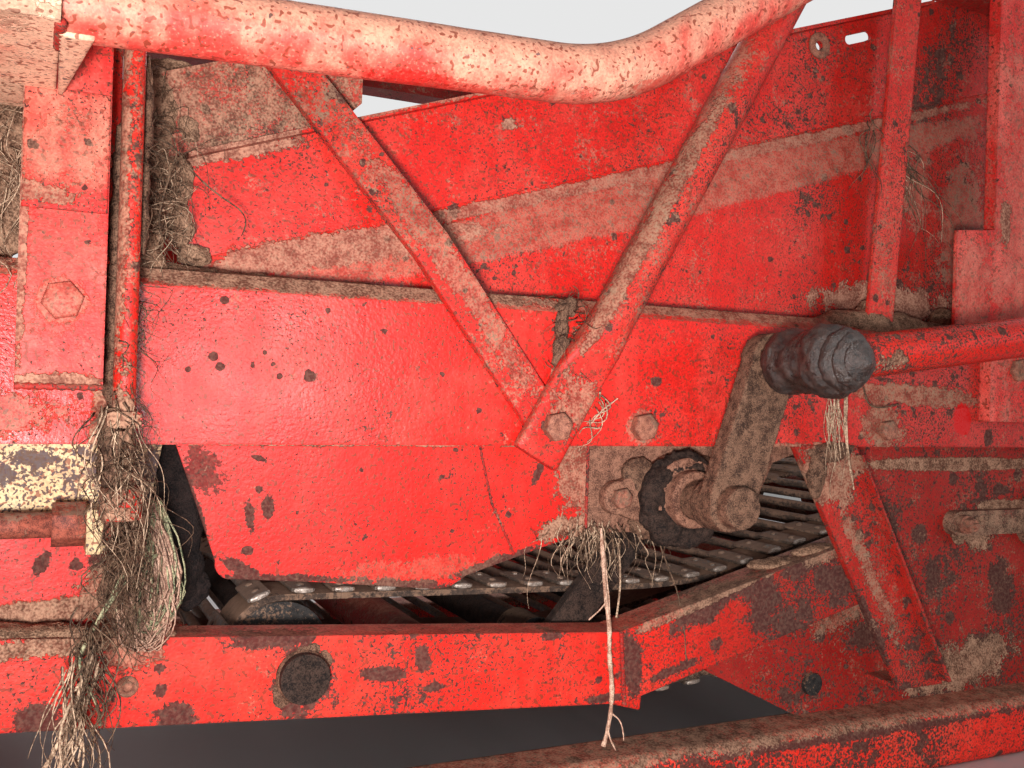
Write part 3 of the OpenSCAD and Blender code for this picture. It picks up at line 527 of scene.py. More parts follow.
class Effects:
    """Shader groups that several finishes share: wear, chips, dust, patches, and fading with painted
    highlight.
    """

    # Where masks start and are full: of worn edges, by how far normals differ, and of patches, by distance
    WORN, PATCHED = (0.03, 0.13), (1.06, 0.88)
    # Limits of chips and dust where the amount is 0, and the share of dark tone in the paint's mottles
    CHIP_LIMIT, DUST_LIMIT, MOTTLED = 0.80, 0.92, 0.55
    # Dark tones under the paint, in broad mottles and in grain
    MOTTLE_TONE: Colour = (0.02, 0.004, 0.004)
    GRAIN_TONE: Colour = (0.03, 0.01, 0.008)

    def __init__(self) -> None:
        """Builds every group once."""
        self.edge = shader_group(
            "edge_wear", [("Radius", "Float", 0.003), ("Amount", "Float", 0.5), ("Scale", "Float", 160.0)],
            [("Mask", "Float"), ("Normal", "Vector")], self.fill_edge)
        self.chips = shader_group(
            "paint_chips", [("Amount", "Float", 0.5), ("Scale", "Float", 60.0)],
            [("Mask", "Float"), ("Rim", "Float")], self.fill_chips)
        self.dust = shader_group(
            "settled_dust", [("Amount", "Float", 0.4), ("Upward", "Float", 0.5), ("Scale", "Float", 22.0)],
            [("Mask", "Float")], self.fill_dust)
        self.grain = shader_group(
            "ragged_grain", [("Scale", "Float", 45.0)], [("Grain", "Float")], self.fill_grain)
        where = [("Centre", "Vector", (0.0, 0.0, 0.0)), ("Size", "Vector", (0.02, 0.02, 0.02)),
                 ("Ragged", "Float", 0.5), ("Grain", "Float", 0.0)]
        self.level_patch = shader_group("level_patch", where, [("Mask", "Float")], self.fill_patch)
        self.turned_patch = shader_group(
            "turned_patch", [*where, ("Turn", "Float", 0.0)], [("Mask", "Float")], self.fill_patch)
        self.fade = shader_group(
            "faded_colour", [("Colour", "Color", (0.5, 0.05, 0.04)), ("Faded", "Color", (0.7, 0.2, 0.15)),
                             ("Rust", "Color", (0.2, 0.05, 0.02)), ("Scale", "Float", 14.0),
                             ("Sun", "Float", 0.0), ("Pale", "Float", 0.0)],
            [("Colour", "Color")], self.fill_fade_and_highlight)
        self.earth = shader_group(
            "earth_colour", [("Dark", "Color", (0.05, 0.035, 0.025)), ("Light", "Color", (0.3, 0.22, 0.16)),
                             ("Scale", "Float", 90.0)],
            [("Colour", "Color"), ("Height", "Float")], self.fill_earth)

    def spread(self, net: Net, grain: object, spots: Sequence[Patch], mask: object) -> object:
        """Adds patches to a mask: the greatest of the mask and each patch's share.

        Args:
            net: The material's nodes.
            grain: The noise that makes the rims ragged.
            spots: The patches.
            mask: The mask so far.

        Returns:
            The new mask.
        """
        for spot in spots:
            values = {
                "Centre": tuple(float(v) for v in row((spot.station, spot.depth, spot.height))),
                "Size": (spot.along / MM_A_METRE, spot.deep / MM_A_METRE, spot.tall / MM_A_METRE),
                "Ragged": spot.ragged, "Grain": grain}
            if spot.turn:
                shown = net.group(self.turned_patch, Turn=math.radians(spot.turn), **values).outputs[0]
            else:
                shown = net.group(self.level_patch, **values).outputs[0]
            mask = net.most(mask, net.times(shown, spot.share) if spot.share < 1.0 else shown)
        return mask

    def fill_edge(self, net: Net, given: dict) -> dict:
        """Edges show where the rounded normal leaves the flat one, broken up by noise."""
        bevel = net.add("Bevel", given["Radius"], samples=2).outputs[0]
        flat = net.add("NewGeometry").outputs["Normal"]
        same = net.add("VectorMath", bevel, flat, operation="DOT_PRODUCT").outputs["Value"]
        grit = net.noise(net.place(), given["Scale"], 2.0, 0.7)
        away = net.times(net.less(1.0, same), net.times(grit, 2.2))
        mask = net.times(net.step(away, *self.WORN), given["Amount"])
        return {"Mask": mask, "Normal": bevel}

    def fill_chips(self, net: Net, given: dict) -> dict:
        """Chips are where specks or broad noise rise above a limit set by the amount, and ragged dots.

        A dot lies at a cell's point, and its size is the third power of chance times the amount.
        """
        place = net.place()
        specks = net.noise(place, net.times(given["Scale"], 8.0), 1.0)
        broad = net.noise(place, given["Scale"], 4.0, 0.74)
        where = net.noise(place, net.times(given["Scale"], 0.22), 0.0)
        limit = net.less(self.CHIP_LIMIT, net.times(given["Amount"], net.times(where, 0.42)))
        fine = net.step(specks, net.less(limit, 0.05), net.less(limit, 0.02))
        cells = net.add("TexVoronoi", named={
            "Vector": place, "Scale": net.times(given["Scale"], 0.9)}).outputs
        chance = net.add("SeparateXYZ", cells["Color"]).outputs["X"]
        size = net.times(net.math("POWER", chance, 3.0), net.times(given["Amount"], 0.52))
        rough = net.noise(place, net.times(given["Scale"], 5.0), 1.0)
        near = net.less(net.fused(rough, 0.30, cells["Distance"]), 0.13)
        fine = net.most(fine, net.step(near, size, net.fused(size, 0.8, -0.004)))
        large = net.step(broad, net.less(limit, 0.03), net.less(limit, 0.012))
        rim = net.step(broad, net.less(limit, 0.07), net.less(limit, 0.03))
        return {"Mask": net.most(fine, large), "Rim": rim}

    def fill_dust(self, net: Net, given: dict) -> dict:
        """Dust is fine specks that grow denser with the amount, a cloud noise and an upward lean."""
        place = net.place()
        up = net.times(net.most(net.lean(), 0.0), given["Upward"])
        cloud = net.noise(place, given["Scale"], 3.0, 0.66)
        fine = net.noise(place, net.times(given["Scale"], 13.0), 2.0, 0.74)
        dense = net.plus(net.fused(cloud, 1.7, -0.85), net.plus(up, given["Amount"]))
        limit = net.less(self.DUST_LIMIT, net.times(dense, 0.62))
        return {"Mask": net.step(fine, net.less(limit, 0.10), net.plus(limit, 0.10))}

    def fill_grain(self, net: Net, given: dict) -> dict:
        """Noise about zero at two sizes, which makes the rims of patches ragged."""
        place = net.place()
        coarse = net.noise(place, given["Scale"], 3.0, 0.7)
        fine = net.noise(place, net.times(given["Scale"], 7.0), 2.0, 0.7)
        both = net.plus(net.times(coarse, 2.6), net.times(fine, 1.7))
        return {"Grain": net.less(both, 2.15)}

    def fill_patch(self, net: Net, given: dict) -> dict:
        """An ellipsoid: offset, turned where asked, over size, where its length plus grain is under one."""
        offset = net.add("VectorMath", net.place(), given["Centre"], operation="SUBTRACT").outputs[0]
        if "Turn" in given:
            offset = net.add("VectorRotate", named={"Vector": offset, "Angle": given["Turn"]},
                             rotation_type="Y_AXIS").outputs[0]
        scaled = net.add("VectorMath", offset, given["Size"], operation="DIVIDE").outputs[0]
        far = net.add("VectorMath", scaled, operation="LENGTH").outputs["Value"]
        ragged = net.fused(given["Grain"], given["Ragged"], far)
        return {"Mask": net.step(ragged, *self.PATCHED)}

    def fill_fade_and_highlight(self, net: Net, given: dict) -> dict:
        """Paint fades in clouds and upright streaks, more where it faces up or is pale, which on the rail and
        its bracket is painted highlight; rust freckles it.
        """
        place = net.place()
        clouds = net.noise(place, given["Scale"], 3.0, 0.68)
        tall = net.add("Mapping", named={"Vector": place, "Scale": (1.0, 1.0, 0.12)}).outputs[0]
        streak = net.noise(tall, net.times(given["Scale"], 5.0), 1.0)
        clouds = net.fused(streak, 0.25, net.fused(clouds, 0.75, given["Pale"]))
        # Upward faces take more of the faded colour; on the rail this paler top is a painted highlight
        share = net.fused(net.lean(), given["Sun"], clouds)
        colour = net.mix(net.step(share, 0.40, 0.66), given["Colour"], given["Faded"])
        mottle = net.noise(place, net.times(given["Scale"], 4.5), 3.0, 0.80)
        deep = net.mix(self.MOTTLED, given["Colour"], self.MOTTLE_TONE)
        colour = net.mix(net.step(mottle, 0.56, 0.34, 0.30), colour, deep)
        grain = net.noise(place, GRAIN_SCALE, 1.0)
        colour = net.mix(net.step(grain, 0.60, 0.36, 0.24), colour, self.GRAIN_TONE)
        colour = net.mix(net.step(grain, 0.60, 0.72, 0.34), colour, given["Faded"])
        freckle = net.noise(place, FRECKLE_SCALE, 0.0)
        return {"Colour": net.mix(net.step(freckle, 0.64, 0.70, 0.8), colour, given["Rust"])}

    def fill_earth(self, net: Net, given: dict) -> dict:
        """Soil goes from dark to light over lumps and crumbs."""
        place = net.place()
        lump = net.noise(place, given["Scale"], 3.0, 0.74)
        crumb = net.noise(place, net.times(given["Scale"], 8.0), 2.0, 0.68)
        both = net.plus(net.times(lump, 0.55), net.times(crumb, 0.45))
        return {"Colour": net.mix(net.step(both, 0.36, 0.64), given["Dark"], given["Light"]), "Height": both}


@dataclass(frozen=True)
class Earth:
    """Dark and light colour of soil and the width of its crumbs."""

    dark: Colour = srgb(86, 58, 44)
    light: Colour = srgb(178, 136, 110)
    scale: float = 60.0


DRY = Earth()
CRUST = Earth(srgb(70, 48, 38), srgb(164, 128, 104), 75.0)
PINKISH = Earth(srgb(112, 70, 56), srgb(190, 138, 114), 60.0)

# Colours that all paint shares: rust freckles, a darker tone toward the rear, a chip's rim, pitted metal,
# deep red
RUST, REAR_TONE, RIM = srgb(128, 52, 34), srgb(74, 24, 20), srgb(120, 44, 38)
PITTED, DEEP_RED = srgb(92, 66, 56), srgb(196, 10, 8)
# How much of the paint soil and bare metal hide, and the shine of its dielectric layer
COVER, PAINT_SHINE = 0.94, 0.17


def marks(depth: float, *rows: tuple[float, ...]) -> tuple[Patch, ...]:
    """Patches at one depth, from rows of station, height and what else a patch takes."""
    return tuple(Patch(station, depth, *rest) for station, *rest in rows)


@dataclass(frozen=True)
class Paint:
    """Weathered paint: its colours, how worn and dusty it is, and its patches of soil.

    The toward-rear setting is where along the machine the paint starts and ends to darken, by how much, and
    how far the chips grow there. Fresh patches are places where the deep colour of the paint is left.
    """

    name: str
    colour: Colour
    faded: Colour
    chip: Colour = srgb(62, 36, 32)
    chips: float = 0.5
    chip_scale: float = 60.0
    wear: float = 0.55
    dust: float = 0.38
    upward: float = 0.55
    film: float = 0.6
    gloss: float = 0.42
    # The faded colour shows where paint faces up and where it is pale: sun fading, and on the rail and its
    # bracket also a painted highlight
    sun: float = 0.0
    pale: float = 0.0
    toward_rear: tuple[float, float, float, float] = (0.0, 1.0, 0.0, 0.0)
    earth: Earth = DRY
    patches: tuple[Patch, ...] = ()
    bare: tuple[Patch, ...] = ()
    fresh: tuple[Patch, ...] = ()

    def rearward(self, net: Net, top: float) -> bpy.types.NodeSocket:
        """Rises along the machine to top, from where the darkening starts to where it ends."""
        start, end = ((station - HALF_LENGTH) / MM_A_METRE for station in self.toward_rear[:2])
        return net.step(net.add("SeparateXYZ", net.place()).outputs["X"], start, end, top)

    def build(self, effects: Effects) -> bpy.types.Material:
        """Layers fading with its painted highlight, chips, worn edges, dust and patches over each other.

        Args:
            effects: The shared shader groups.

        Returns:
            The material.
        """
        material, net = blank_material(self.name)
        marked = self.patches or self.bare or self.fresh
        grain = net.group(effects.grain).outputs[0] if marked else None
        edge = net.group(effects.edge, Amount=self.wear).outputs if self.wear > 0.0 else None
        darker, more_chips = self.toward_rear[2:]
        amount = net.plus(self.rearward(net, more_chips), self.chips) if more_chips > 0.0 else self.chips
        chips = net.group(effects.chips, Amount=amount, Scale=self.chip_scale)
        dust = net.group(effects.dust, Amount=self.dust, Upward=self.upward)
        earth = net.group(effects.earth, Dark=self.earth.dark, Light=self.earth.light, Scale=self.earth.scale)
        colour = net.group(effects.fade, Colour=self.colour, Faded=self.faded, Rust=RUST,
                           Sun=self.sun, Pale=self.pale).outputs[0]
        # Darker towards the rear of the machine, by a step along the station
        if darker > 0.0:
            colour = net.mix(self.rearward(net, darker), colour, REAR_TONE)
        colour = net.mix(net.times(chips.outputs["Rim"], 0.35), colour, RIM)
        chipped = effects.spread(net, grain, self.bare, chips.outputs["Mask"])
        bare = net.most(chipped, edge["Mask"]) if edge else chipped
        pitted = net.noise(net.place(), PIT_SCALE, 2.0, 0.7)
        metal = net.mix(net.step(pitted, 0.34, 0.70), self.chip, PITTED)
        colour = net.mix(net.times(bare, COVER), colour, metal)
        film = net.times(dust.outputs["Mask"], self.film)
        lying = effects.spread(net, grain, self.patches, 0.0)
        soil = net.most(film, lying)
        colour = net.mix(net.times(soil, COVER), colour, earth.outputs["Colour"])
        if self.fresh:
            colour = net.mix(effects.spread(net, grain, self.fresh, 0.0), colour, DEEP_RED)
        rough = net.fused(net.noise(net.place(), SHEEN_SCALE, 2.0), 0.25, self.gloss - 0.1)
        rough = net.most(rough, net.times(net.most(soil, bare), 0.9))
        height = net.fused(net.noise(net.place(), DENT_SCALE, 0.0), 1.2, net.times(pitted, 0.34))
        if self.patches:
            crumbs = net.fused(earth.outputs["Height"], 1.6, 0.3)
            height = net.plus(height, net.times(lying, crumbs))
        bump = net.add("Bump", named={"Strength": 0.9, "Distance": 0.0012, "Height": height,
                                      "Normal": edge["Normal"] if edge else None})
        net.surface({"Base Color": colour, "Roughness": rough, "Normal": bump.outputs[0],
                     "Specular IOR Level": PAINT_SHINE})
        return material


@dataclass(frozen=True)
class Raw:
    """Unpainted surface: soil, rubber, root or bare steel, with uneven colour, sheen and grain."""

    name: str
    dark: Colour
    light: Colour
    scale: float = 90.0
    rough: tuple[float, float] = (0.75, 0.95)
    metal: float = 0.0
    relief: float = 0.0012
    dust: float = 0.0
    round_edges: bool = False
    shine: float = 0.14

    def build(self, effects: Effects) -> bpy.types.Material:
        """Mixes two tones over noise, adds dust on top, and raises the grain.

        Args:
            effects: The shared shader groups.

        Returns:
            The material.
        """
        material, net = blank_material(self.name)
        earth = net.group(effects.earth, Dark=self.dark, Light=self.light, Scale=self.scale)
        colour = earth.outputs["Colour"]
        rough = net.step(net.noise(net.place(), RAW_SHEEN_SCALE, 3.0), 0.35, 0.65)
        rough = net.fused(rough, self.rough[1] - self.rough[0], self.rough[0])
        named: dict[str, object] = {"Metallic": self.metal, "Specular IOR Level": self.shine}
        if self.dust > 0.0:
            dust = net.group(effects.dust, Amount=self.dust, Upward=0.4).outputs["Mask"]
            crust = net.mix(earth.outputs["Height"], CRUST.dark, CRUST.light)
            colour = net.mix(net.times(dust, 0.85), colour, crust)
            rough = net.most(rough, net.times(dust, 0.92))
            if self.metal > 0.0:
                named["Metallic"] = net.times(net.less(1.0, dust), self.metal)
        normal = net.group(effects.edge).outputs["Normal"] if self.round_edges else None
        bump = net.add("Bump", named={"Strength": 1.0, "Distance": self.relief, "Normal": normal,
                                      "Height": earth.outputs["Height"]})
        net.surface({**named, "Base Color": colour, "Roughness": rough, "Normal": bump.outputs[0]})
        return material


PAINTS = (
    Paint("beam_red", srgb(222, 36, 28), srgb(230, 62, 52), chips=0.44, dust=0.26, upward=0.75, gloss=0.3,
          toward_rear=(660.0, 1080.0, 0.3, 0.35),
          patches=marks(
              0, (370, 516, 280, 13, 0, 0.35), (760, 514, 200, 7, 0, 0.5, 0.85),
              (690, 396, 19, 18, 0, 0.4, 0.6), (1131, 360, 120, 9, 0, 0.4), (1010, 400, 34, 30, 0, 0.8, 0.75),
              (1060, 436, 110, 12, -2, 0.6, 0.75), (890, 372, 90, 9, 0, 0.6, 0.8),
              (600, 440, 14, 50, -20, 0.8, 0.8), (120, 402, 60, 18, 0, 0.8, 0.5),
              (200, 430, 9, 120, 0, 0.5, 0.9), (640, 372, 26, 5, 0, 0.5)),
          bare=marks(
              0, (359, 435, 5.5, 5, 0, 0.4), (334, 434, 2.6, 2.8, 0, 0.4), (288, 494, 4, 4, 0, 0.4),
              (280, 448, 4, 3.4, 0, 0.4), (286, 440, 3.6, 3.4, 0, 0.4), (261, 437, 2.6, 2.6, 0, 0.4),
              (321, 453, 2.4, 2.4, 0, 0.4), (312, 442, 2.2, 2.4, 0, 0.4), (373, 491, 2.6, 2.6, 0, 0.4),
              (1180, 388, 8, 12), (706, 441, 7, 5, 0, 0.4)),
          fresh=marks(0, (1135, 409, 15, 19, 0, 0.25))),
    Paint("lower_red", srgb(226, 40, 29), srgb(232, 60, 45), chips=0.62, chip_scale=52.0, wear=0.7, dust=0.2,
          upward=0.9, gloss=0.4, toward_rear=(670.0, 900.0, 0.52, 0.54),
          bare=marks(
              8, (363, 179, 26, 36, 0, 0.9), (340, 214, 42, 9, 0, 0.9), (434, 176, 22, 8, -6, 0.6),
              (471, 187, 8, 13, 10, 0.5), (161, 166, 18, 13, 0, 0.6), (261, 158, 17, 11, 0, 0.7),
              (692, 158, 13, 46, 8, 0.6), (850, 214, 26, 34, 20, 0.9), (770, 204, 40, 12, 20, 0.9),
              (905, 246, 26, 12, 14, 0.9), (740, 150, 40, 5, 14, 0.9), (795, 172, 9, 8, 14, 0.8),
              (960, 232, 40, 20, 14, 0.9), (800, 222, 50, 13, 20, 1.0), (885, 264, 50, 12, 18, 1.0),
              (665, 130, 26, 5, 0, 0.8), (600, 196, 14, 5, 0, 0.8)),
          patches=(
              Patch(400, 36, 226, 420, 7, 0, 0.5, 0.9, 34), Patch(180, 8, 222, 70, 9, 0, 0.7),
              Patch(960, 8, 266, 60, 12, 14, 0.8, 0.8), Patch(800, 8, 226, 120, 7, 18, 0.6, 0.8),
              Patch(224, 8, 214, 22, 14, 0, 0.9, 0.8),)),
    Paint("skirt_red", srgb(222, 36, 28), srgb(228, 52, 42), chips=0.46, dust=0.2, gloss=0.36,
          bare=marks(
              50, (282, 354, 14, 25, 19, 1.0, 0.85), (323, 314, 5, 16, 8, 0.6), (338, 320, 6, 11, 0, 0.5),
              (330, 362, 7, 3, -20, 0.6), (318, 266, 26, 6, -30, 0.7), (276, 318, 7, 34, 19, 0.7),
              (360, 256, 60, 4, -4, 0.9), (470, 244, 50, 5, -4, 0.9), (565, 262, 50, 6, 16, 0.9),
              (545, 248, 26, 7, 16, 0.8), (322, 282, 6, 4, 0, 0.5), (604, 350, 5, 14, -24, 0.6)),
          patches=marks(
              50, (650, 350, 26, 50, 0, 0.8, 0.85), (640, 292, 40, 12, 10, 0.8), (400, 376, 300, 3, 0, 0.6),
              (470, 256, 90, 12, 4, 1.3, 0.25))),
    Paint("panel_red", srgb(216, 32, 24), srgb(220, 58, 48), chips=0.52, dust=0.36, film=0.55, gloss=0.4,
          wear=0.0, earth=PINKISH, toward_rear=(760.0, 1180.0, 0.34, 0.3),
          patches=(
              Patch(757, 62, 640, 540, 27, 16.9, 0.22, 0.55), Patch(757, 58, 670, 540, 7, 16.9, 0.5, 0.8),
              Patch(400, 52, 552, 160, 16, 13, 0.5, 0.9), Patch(240, 55, 600, 9, 90, 0, 0.9),
              Patch(300, 55, 628, 70, 9, 18, 0.9), Patch(1060, 50, 545, 110, 22, 0, 0.8),
              Patch(563, 55, 688, 8, 6, 0, 0.8), Patch(1100, 58, 690, 30, 50, 0, 0.9, 0.5),
              Patch(500, 55, 704, 330, 5, 19, 0.7, 0.8), Patch(1190, 58, 640, 50, 100, 0, 0.8, 0.5),
              Patch(715, 58, 641, 12, 10, 0, 0.8, 0.8),),
          bare=(
              Patch(508, 55, 598, 7, 9, 0, 0.7), Patch(1002, 60, 744, 9, 6, 0, 0.7),
              Patch(420, 55, 640, 4, 3, 0, 0.6),)),
    Paint("plate_red", srgb(158, 26, 20), srgb(166, 38, 31), chips=0.92, chip_scale=48.0, dust=0.4,
          upward=0.4, film=0.5, gloss=0.5, wear=0.0,
          bare=marks(
              50, (1150, 212, 12, 26, 0, 0.8), (1271, 196, 26, 36, 0, 0.9), (1240, 128, 40, 14, 0, 0.8),
              (1126, 268, 13, 12, 0, 0.5), (1040, 150, 30, 22, 0, 0.9)),
          patches=marks(
              50, (1190, 353, 170, 9, 0, 0.35), (1222, 268, 34, 24, -20, 0.7), (1280, 300, 60, 7, 0, 0.6),
              (1210, 104, 90, 30, 10, 0.7), (60, 246, 170, 16, 0, 0.8), (1000, 190, 60, 30, 14, 0.9, 0.6))),
    Paint("front_plate_red", srgb(214, 40, 33), srgb(224, 62, 52), chips=0.46, chip_scale=44.0, dust=0.22,
          upward=0.4, gloss=0.42,
          bare=marks(50, (160, 278, 5, 13, -30, 0.6), (205, 285, 12, 16, 0, 0.8), (186, 276, 6, 4, 0, 0.6)),
          patches=marks(50, (150, 238, 130, 11, 4, 0.4), (216, 250, 26, 28, 0, 0.8, 0.9))),
    Paint("post_red", srgb(218, 46, 40), srgb(234, 102, 88), chips=0.36, dust=0.26, film=0.5, gloss=0.42,
          wear=0.45, earth=PINKISH,
          patches=(
              Patch(165, -60, 424, 36, 7, 0, 0.6), Patch(140, -60, 540, 4, 110, 0, 0.6, 0.9),
              Patch(165, -60, 520, 26, 60, 0, 0.9, 0.16), Patch(167, -60, 482, 17, 16, 0, 0.4, 0.6),
              Patch(1180, -16, 640, 9, 30, 0, 0.8), Patch(1130, -16, 560, 34, 60, 0, 0.9, 0.4),
              Patch(1207, -11, 640, 50, 200, 0, 1.2, 0.35),)),
    Paint("brace_red", srgb(208, 38, 30), srgb(218, 66, 54), chips=0.66, dust=0.48, upward=0.5, film=0.62,
          gloss=0.44, wear=0.5,
          patches=(
              Patch(676, -30, 590, 170, 7, 60, 0.6, 0.85), Patch(604, -24, 420, 26, 24, 0, 1.0, 0.7),
              Patch(450, -10, 576, 200, 13, -52.5, 0.9, 0.6),)),
    # Pale tone, stronger on top: partly real fading, partly a painted highlight of glare on the rail
    Paint("rail_pale", srgb(224, 70, 60), srgb(230, 160, 132), chip=srgb(124, 92, 92), chips=0.2, dust=0.14,
          upward=0.1, gloss=0.46, sun=0.14, pale=0.1, wear=0.0,
          patches=marks(-187, (470, 634, 90, 9, 4, 0.9, 0.35), (580, 662, 70, 9, 20, 0.9, 0.4)),
          fresh=(
              Patch(400, -200, 632, 64, 7, 0, 0.9, 0.55), Patch(590, -200, 668, 50, 7, 24, 0.9, 0.45),
              Patch(720, -160, 765, 60, 16, 40, 1.0, 0.5),)),
    # Pale colours: partly real fading, partly a painted highlight of glare on the bracket's near face
    Paint("bracket_pale", srgb(238, 128, 104), srgb(252, 200, 166), chip=srgb(142, 112, 108), chips=0.34,
          dust=0.05, gloss=0.45, pale=0.14, wear=0.3,
          patches=marks(-215, (110, 632, 60, 6, 0, 0.8, 0.5))),
    Paint("sleeve_red", srgb(216, 40, 34), srgb(236, 132, 108), chips=0.62, dust=0.34, gloss=0.44, wear=0.4,
          patches=marks(-62, (150, 556, 24, 7, 0, 0.9, 0.8), (160, 585, 22, 26, 0, 1.0, 0.4))),
    Paint("control_red", srgb(214, 34, 24), srgb(222, 54, 40), chips=0.66, chip_scale=64.0, dust=0.5,
          upward=0.2, film=0.8, gloss=0.38, wear=0.4,
          patches=(
              Patch(206, -44, 372, 22, 60, 0, 0.8), Patch(203, -40, 560, 7, 130, 0, 0.8, 0.85),
              Patch(203, -40, 690, 7, 60, 0, 0.8, 0.8),)),
    Paint("rod_red", srgb(218, 28, 16), srgb(220, 40, 25), chips=0.8, chip_scale=64.0, dust=0.12, upward=0.35,
          gloss=0.34, wear=0.0,
          patches=marks(-113, (880, 466, 30, 9, 7.6, 0.9))),
    Paint("strut_red", srgb(184, 33, 25), srgb(192, 52, 42), chips=0.82, dust=0.36, upward=0.5, film=0.6,
          gloss=0.45, wear=0.7,
          patches=(
              Patch(930, 0, 348, 50, 40, 30, 0.9, 0.85), Patch(1000, -10, 230, 10, 110, 30.6, 0.9, 0.7),),
          bare=marks(0, (925, 290, 8, 50, 30, 1.0), (1000, 180, 8, 50, 30, 1.0))),
    Paint("chassis_red", srgb(238, 46, 33), srgb(242, 74, 56), chips=0.95, chip_scale=40.0, dust=0.26,
          upward=1.1, film=0.85, gloss=0.42,
          bare=marks(0, (1000, 58, 260, 5, 0, 1.0))),
    # Painted shade: a darker copy of the red paint for the legs, cross tubes and top rails
    Paint("shade_red", srgb(168, 32, 26), srgb(178, 48, 40), chips=0.6, dust=0.44, upward=0.5, gloss=0.5,
          wear=0.0),
    Paint("bracket_cream", srgb(226, 186, 136), srgb(236, 206, 160), chip=srgb(92, 80, 84), chips=0.98,
          chip_scale=40.0, dust=0.16, gloss=0.5, wear=0.35,
          bare=marks(
              24, (150, 364, 26, 9, -8, 1.0), (118, 352, 40, 12, 0, 1.0), (196, 350, 7, 5, 0, 0.8),
              (206, 336, 5, 4, 0, 0.6))),
    Paint("hood_dusty", srgb(184, 56, 46), srgb(192, 82, 66), chips=0.9, chip_scale=90.0, dust=0.8,
          upward=0.2, film=0.85, gloss=0.6, wear=0.0),
    Paint("carrier_dusty", srgb(140, 48, 40), srgb(150, 70, 58), chips=0.9, dust=0.95, upward=0.4, film=0.9,
          gloss=0.6, wear=0.0, earth=CRUST),
)

RAWS = (
    Raw("dry_soil", srgb(84, 58, 44), srgb(172, 132, 106), 85.0, relief=0.0026),
    Raw("caked_soil", srgb(56, 37, 29), srgb(134, 98, 78), 105.0, relief=0.002),
    Raw("bearing_soil", srgb(82, 52, 42), srgb(162, 114, 92), 95.0, relief=0.0018),
    # Near-black mud: real mud round the bearings, and painted shade on the agitator frame
    Raw("dark_mud", srgb(24, 17, 15), srgb(72, 54, 46), 110.0, relief=0.0026),
    # Near-black soil: the lumps are soil, their black is painted shade in the recess by the cream bracket and
    # skirt
    Raw("black_soil", srgb(16, 11, 11), srgb(44, 32, 29), 90.0, relief=0.003),
    Raw("grease_boot", srgb(22, 16, 14), srgb(74, 56, 49), 120.0, (0.24, 0.55), relief=0.0022, shine=0.5),
    Raw("rubber", srgb(24, 22, 22), srgb(56, 51, 48), 150.0, (0.6, 0.85), relief=0.0006, dust=0.44),
    Raw("belt_rubber", srgb(36, 29, 26), srgb(84, 66, 56), 150.0, (0.7, 0.9), relief=0.001, dust=0.6),
    Raw("web_rods", srgb(42, 33, 29), srgb(98, 80, 68), 140.0, (0.4, 0.7), 0.25, 0.0008, 0.56, shine=0.4),
    Raw("bright_steel", srgb(96, 80, 70), srgb(172, 156, 144), 140.0, (0.3, 0.55), 0.4, 0.0004, 0.38,
        shine=0.5),
    Raw("rusty_steel", srgb(86, 38, 28), srgb(168, 84, 64), 170.0, (0.55, 0.85), 0.1, 0.0008, 0.26, True,
        0.3),
    Raw("bolt_steel", srgb(104, 56, 44), srgb(180, 116, 92), 190.0, (0.6, 0.85), 0.0, 0.0009, 0.46, True,
        0.25),
    Raw("root_straw", srgb(112, 84, 66), srgb(214, 180, 150), 60.0, (0.7, 0.9), relief=0.0003),
    Raw("root_dark", srgb(52, 37, 29), srgb(122, 94, 74), 70.0, (0.7, 0.9), relief=0.0003),
    Raw("root_pink", srgb(150, 108, 88), srgb(226, 188, 162), 90.0, (0.6, 0.85), relief=0.0006),
    Raw("twine_green", srgb(66, 74, 54), srgb(176, 166, 130), 110.0, (0.5, 0.8), relief=0.0003),
    Raw("twine_pink", srgb(120, 84, 70), srgb(206, 166, 142), 120.0, (0.6, 0.85), relief=0.0003),
)

# Finish of each node that keeps its own shape
NODE_FINISHES: dict[str, tuple[str, ...]] = {
    "beam_red": ("main_beam_near", "main_beam_far"),
    "lower_red": ("lower_beam_near", "lower_beam_far"),
    "chassis_red": ("chassis_tube_near", "chassis_tube_far"),
    "skirt_red": ("skirts",),
    "plate_red": ("rear_side_plate_near", "rear_side_plate_far"),
    "front_plate_red": ("front_side_plates",),
    "panel_red": ("panel_lower_near", "panel_lower_far", "panel_upper_near", "panel_upper_far"),
    "post_red": ("front_post_near", "front_post_far", "rear_post_near", "rear_post_far"),
    "brace_red": ("flat_braces", "angle_posts"),
    "strut_red": ("struts",),
    # painted shade: the darker red on the legs, cross tubes and top rails
    "shade_red": ("legs", "cross_tubes", "top_rail_near", "top_rail_far"),
    "bracket_pale": ("rail_bracket",),
    "bracket_cream": ("front_brackets",),
    "hood_dusty": ("hood_plates",),
    "carrier_dusty": ("drive_carriers",),
    # painted shade: the agitator frame is near black so that it reads as shade; the nose axle shares the
    # finish
    "dark_mud": ("nose_axle", "agitator_frame"),
    "bearing_soil": ("bearing_plates",),
    "rubber": ("nose_wheels", "support_wheels", "return_wheels", "agitator_wheels"),
    "rusty_steel": ("drive_shaft", "tensioners"),
}


class Paints:
    """Every finish by name, built once, and laid on the nodes that keep their shape."""

    def __init__(self) -> None:
        """Builds the finishes."""
        effects = Effects()
        self.by_name = {finish.name: finish.build(effects) for finish in (*PAINTS, *RAWS)}

    def __getitem__(self, name: str) -> bpy.types.Material:
        """The finish of that name."""
        return self.by_name[name]

    def dress_nodes(self) -> None:
        """Sets the finish of each node that is shown as it is."""
        for finish, nodes in NODE_FINISHES.items():
            for name in nodes:
                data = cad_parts[name].data
                data.materials.clear()
                data.materials.append(self.by_name[finish])
                LOG.info("%s finished as %s", name, finish)


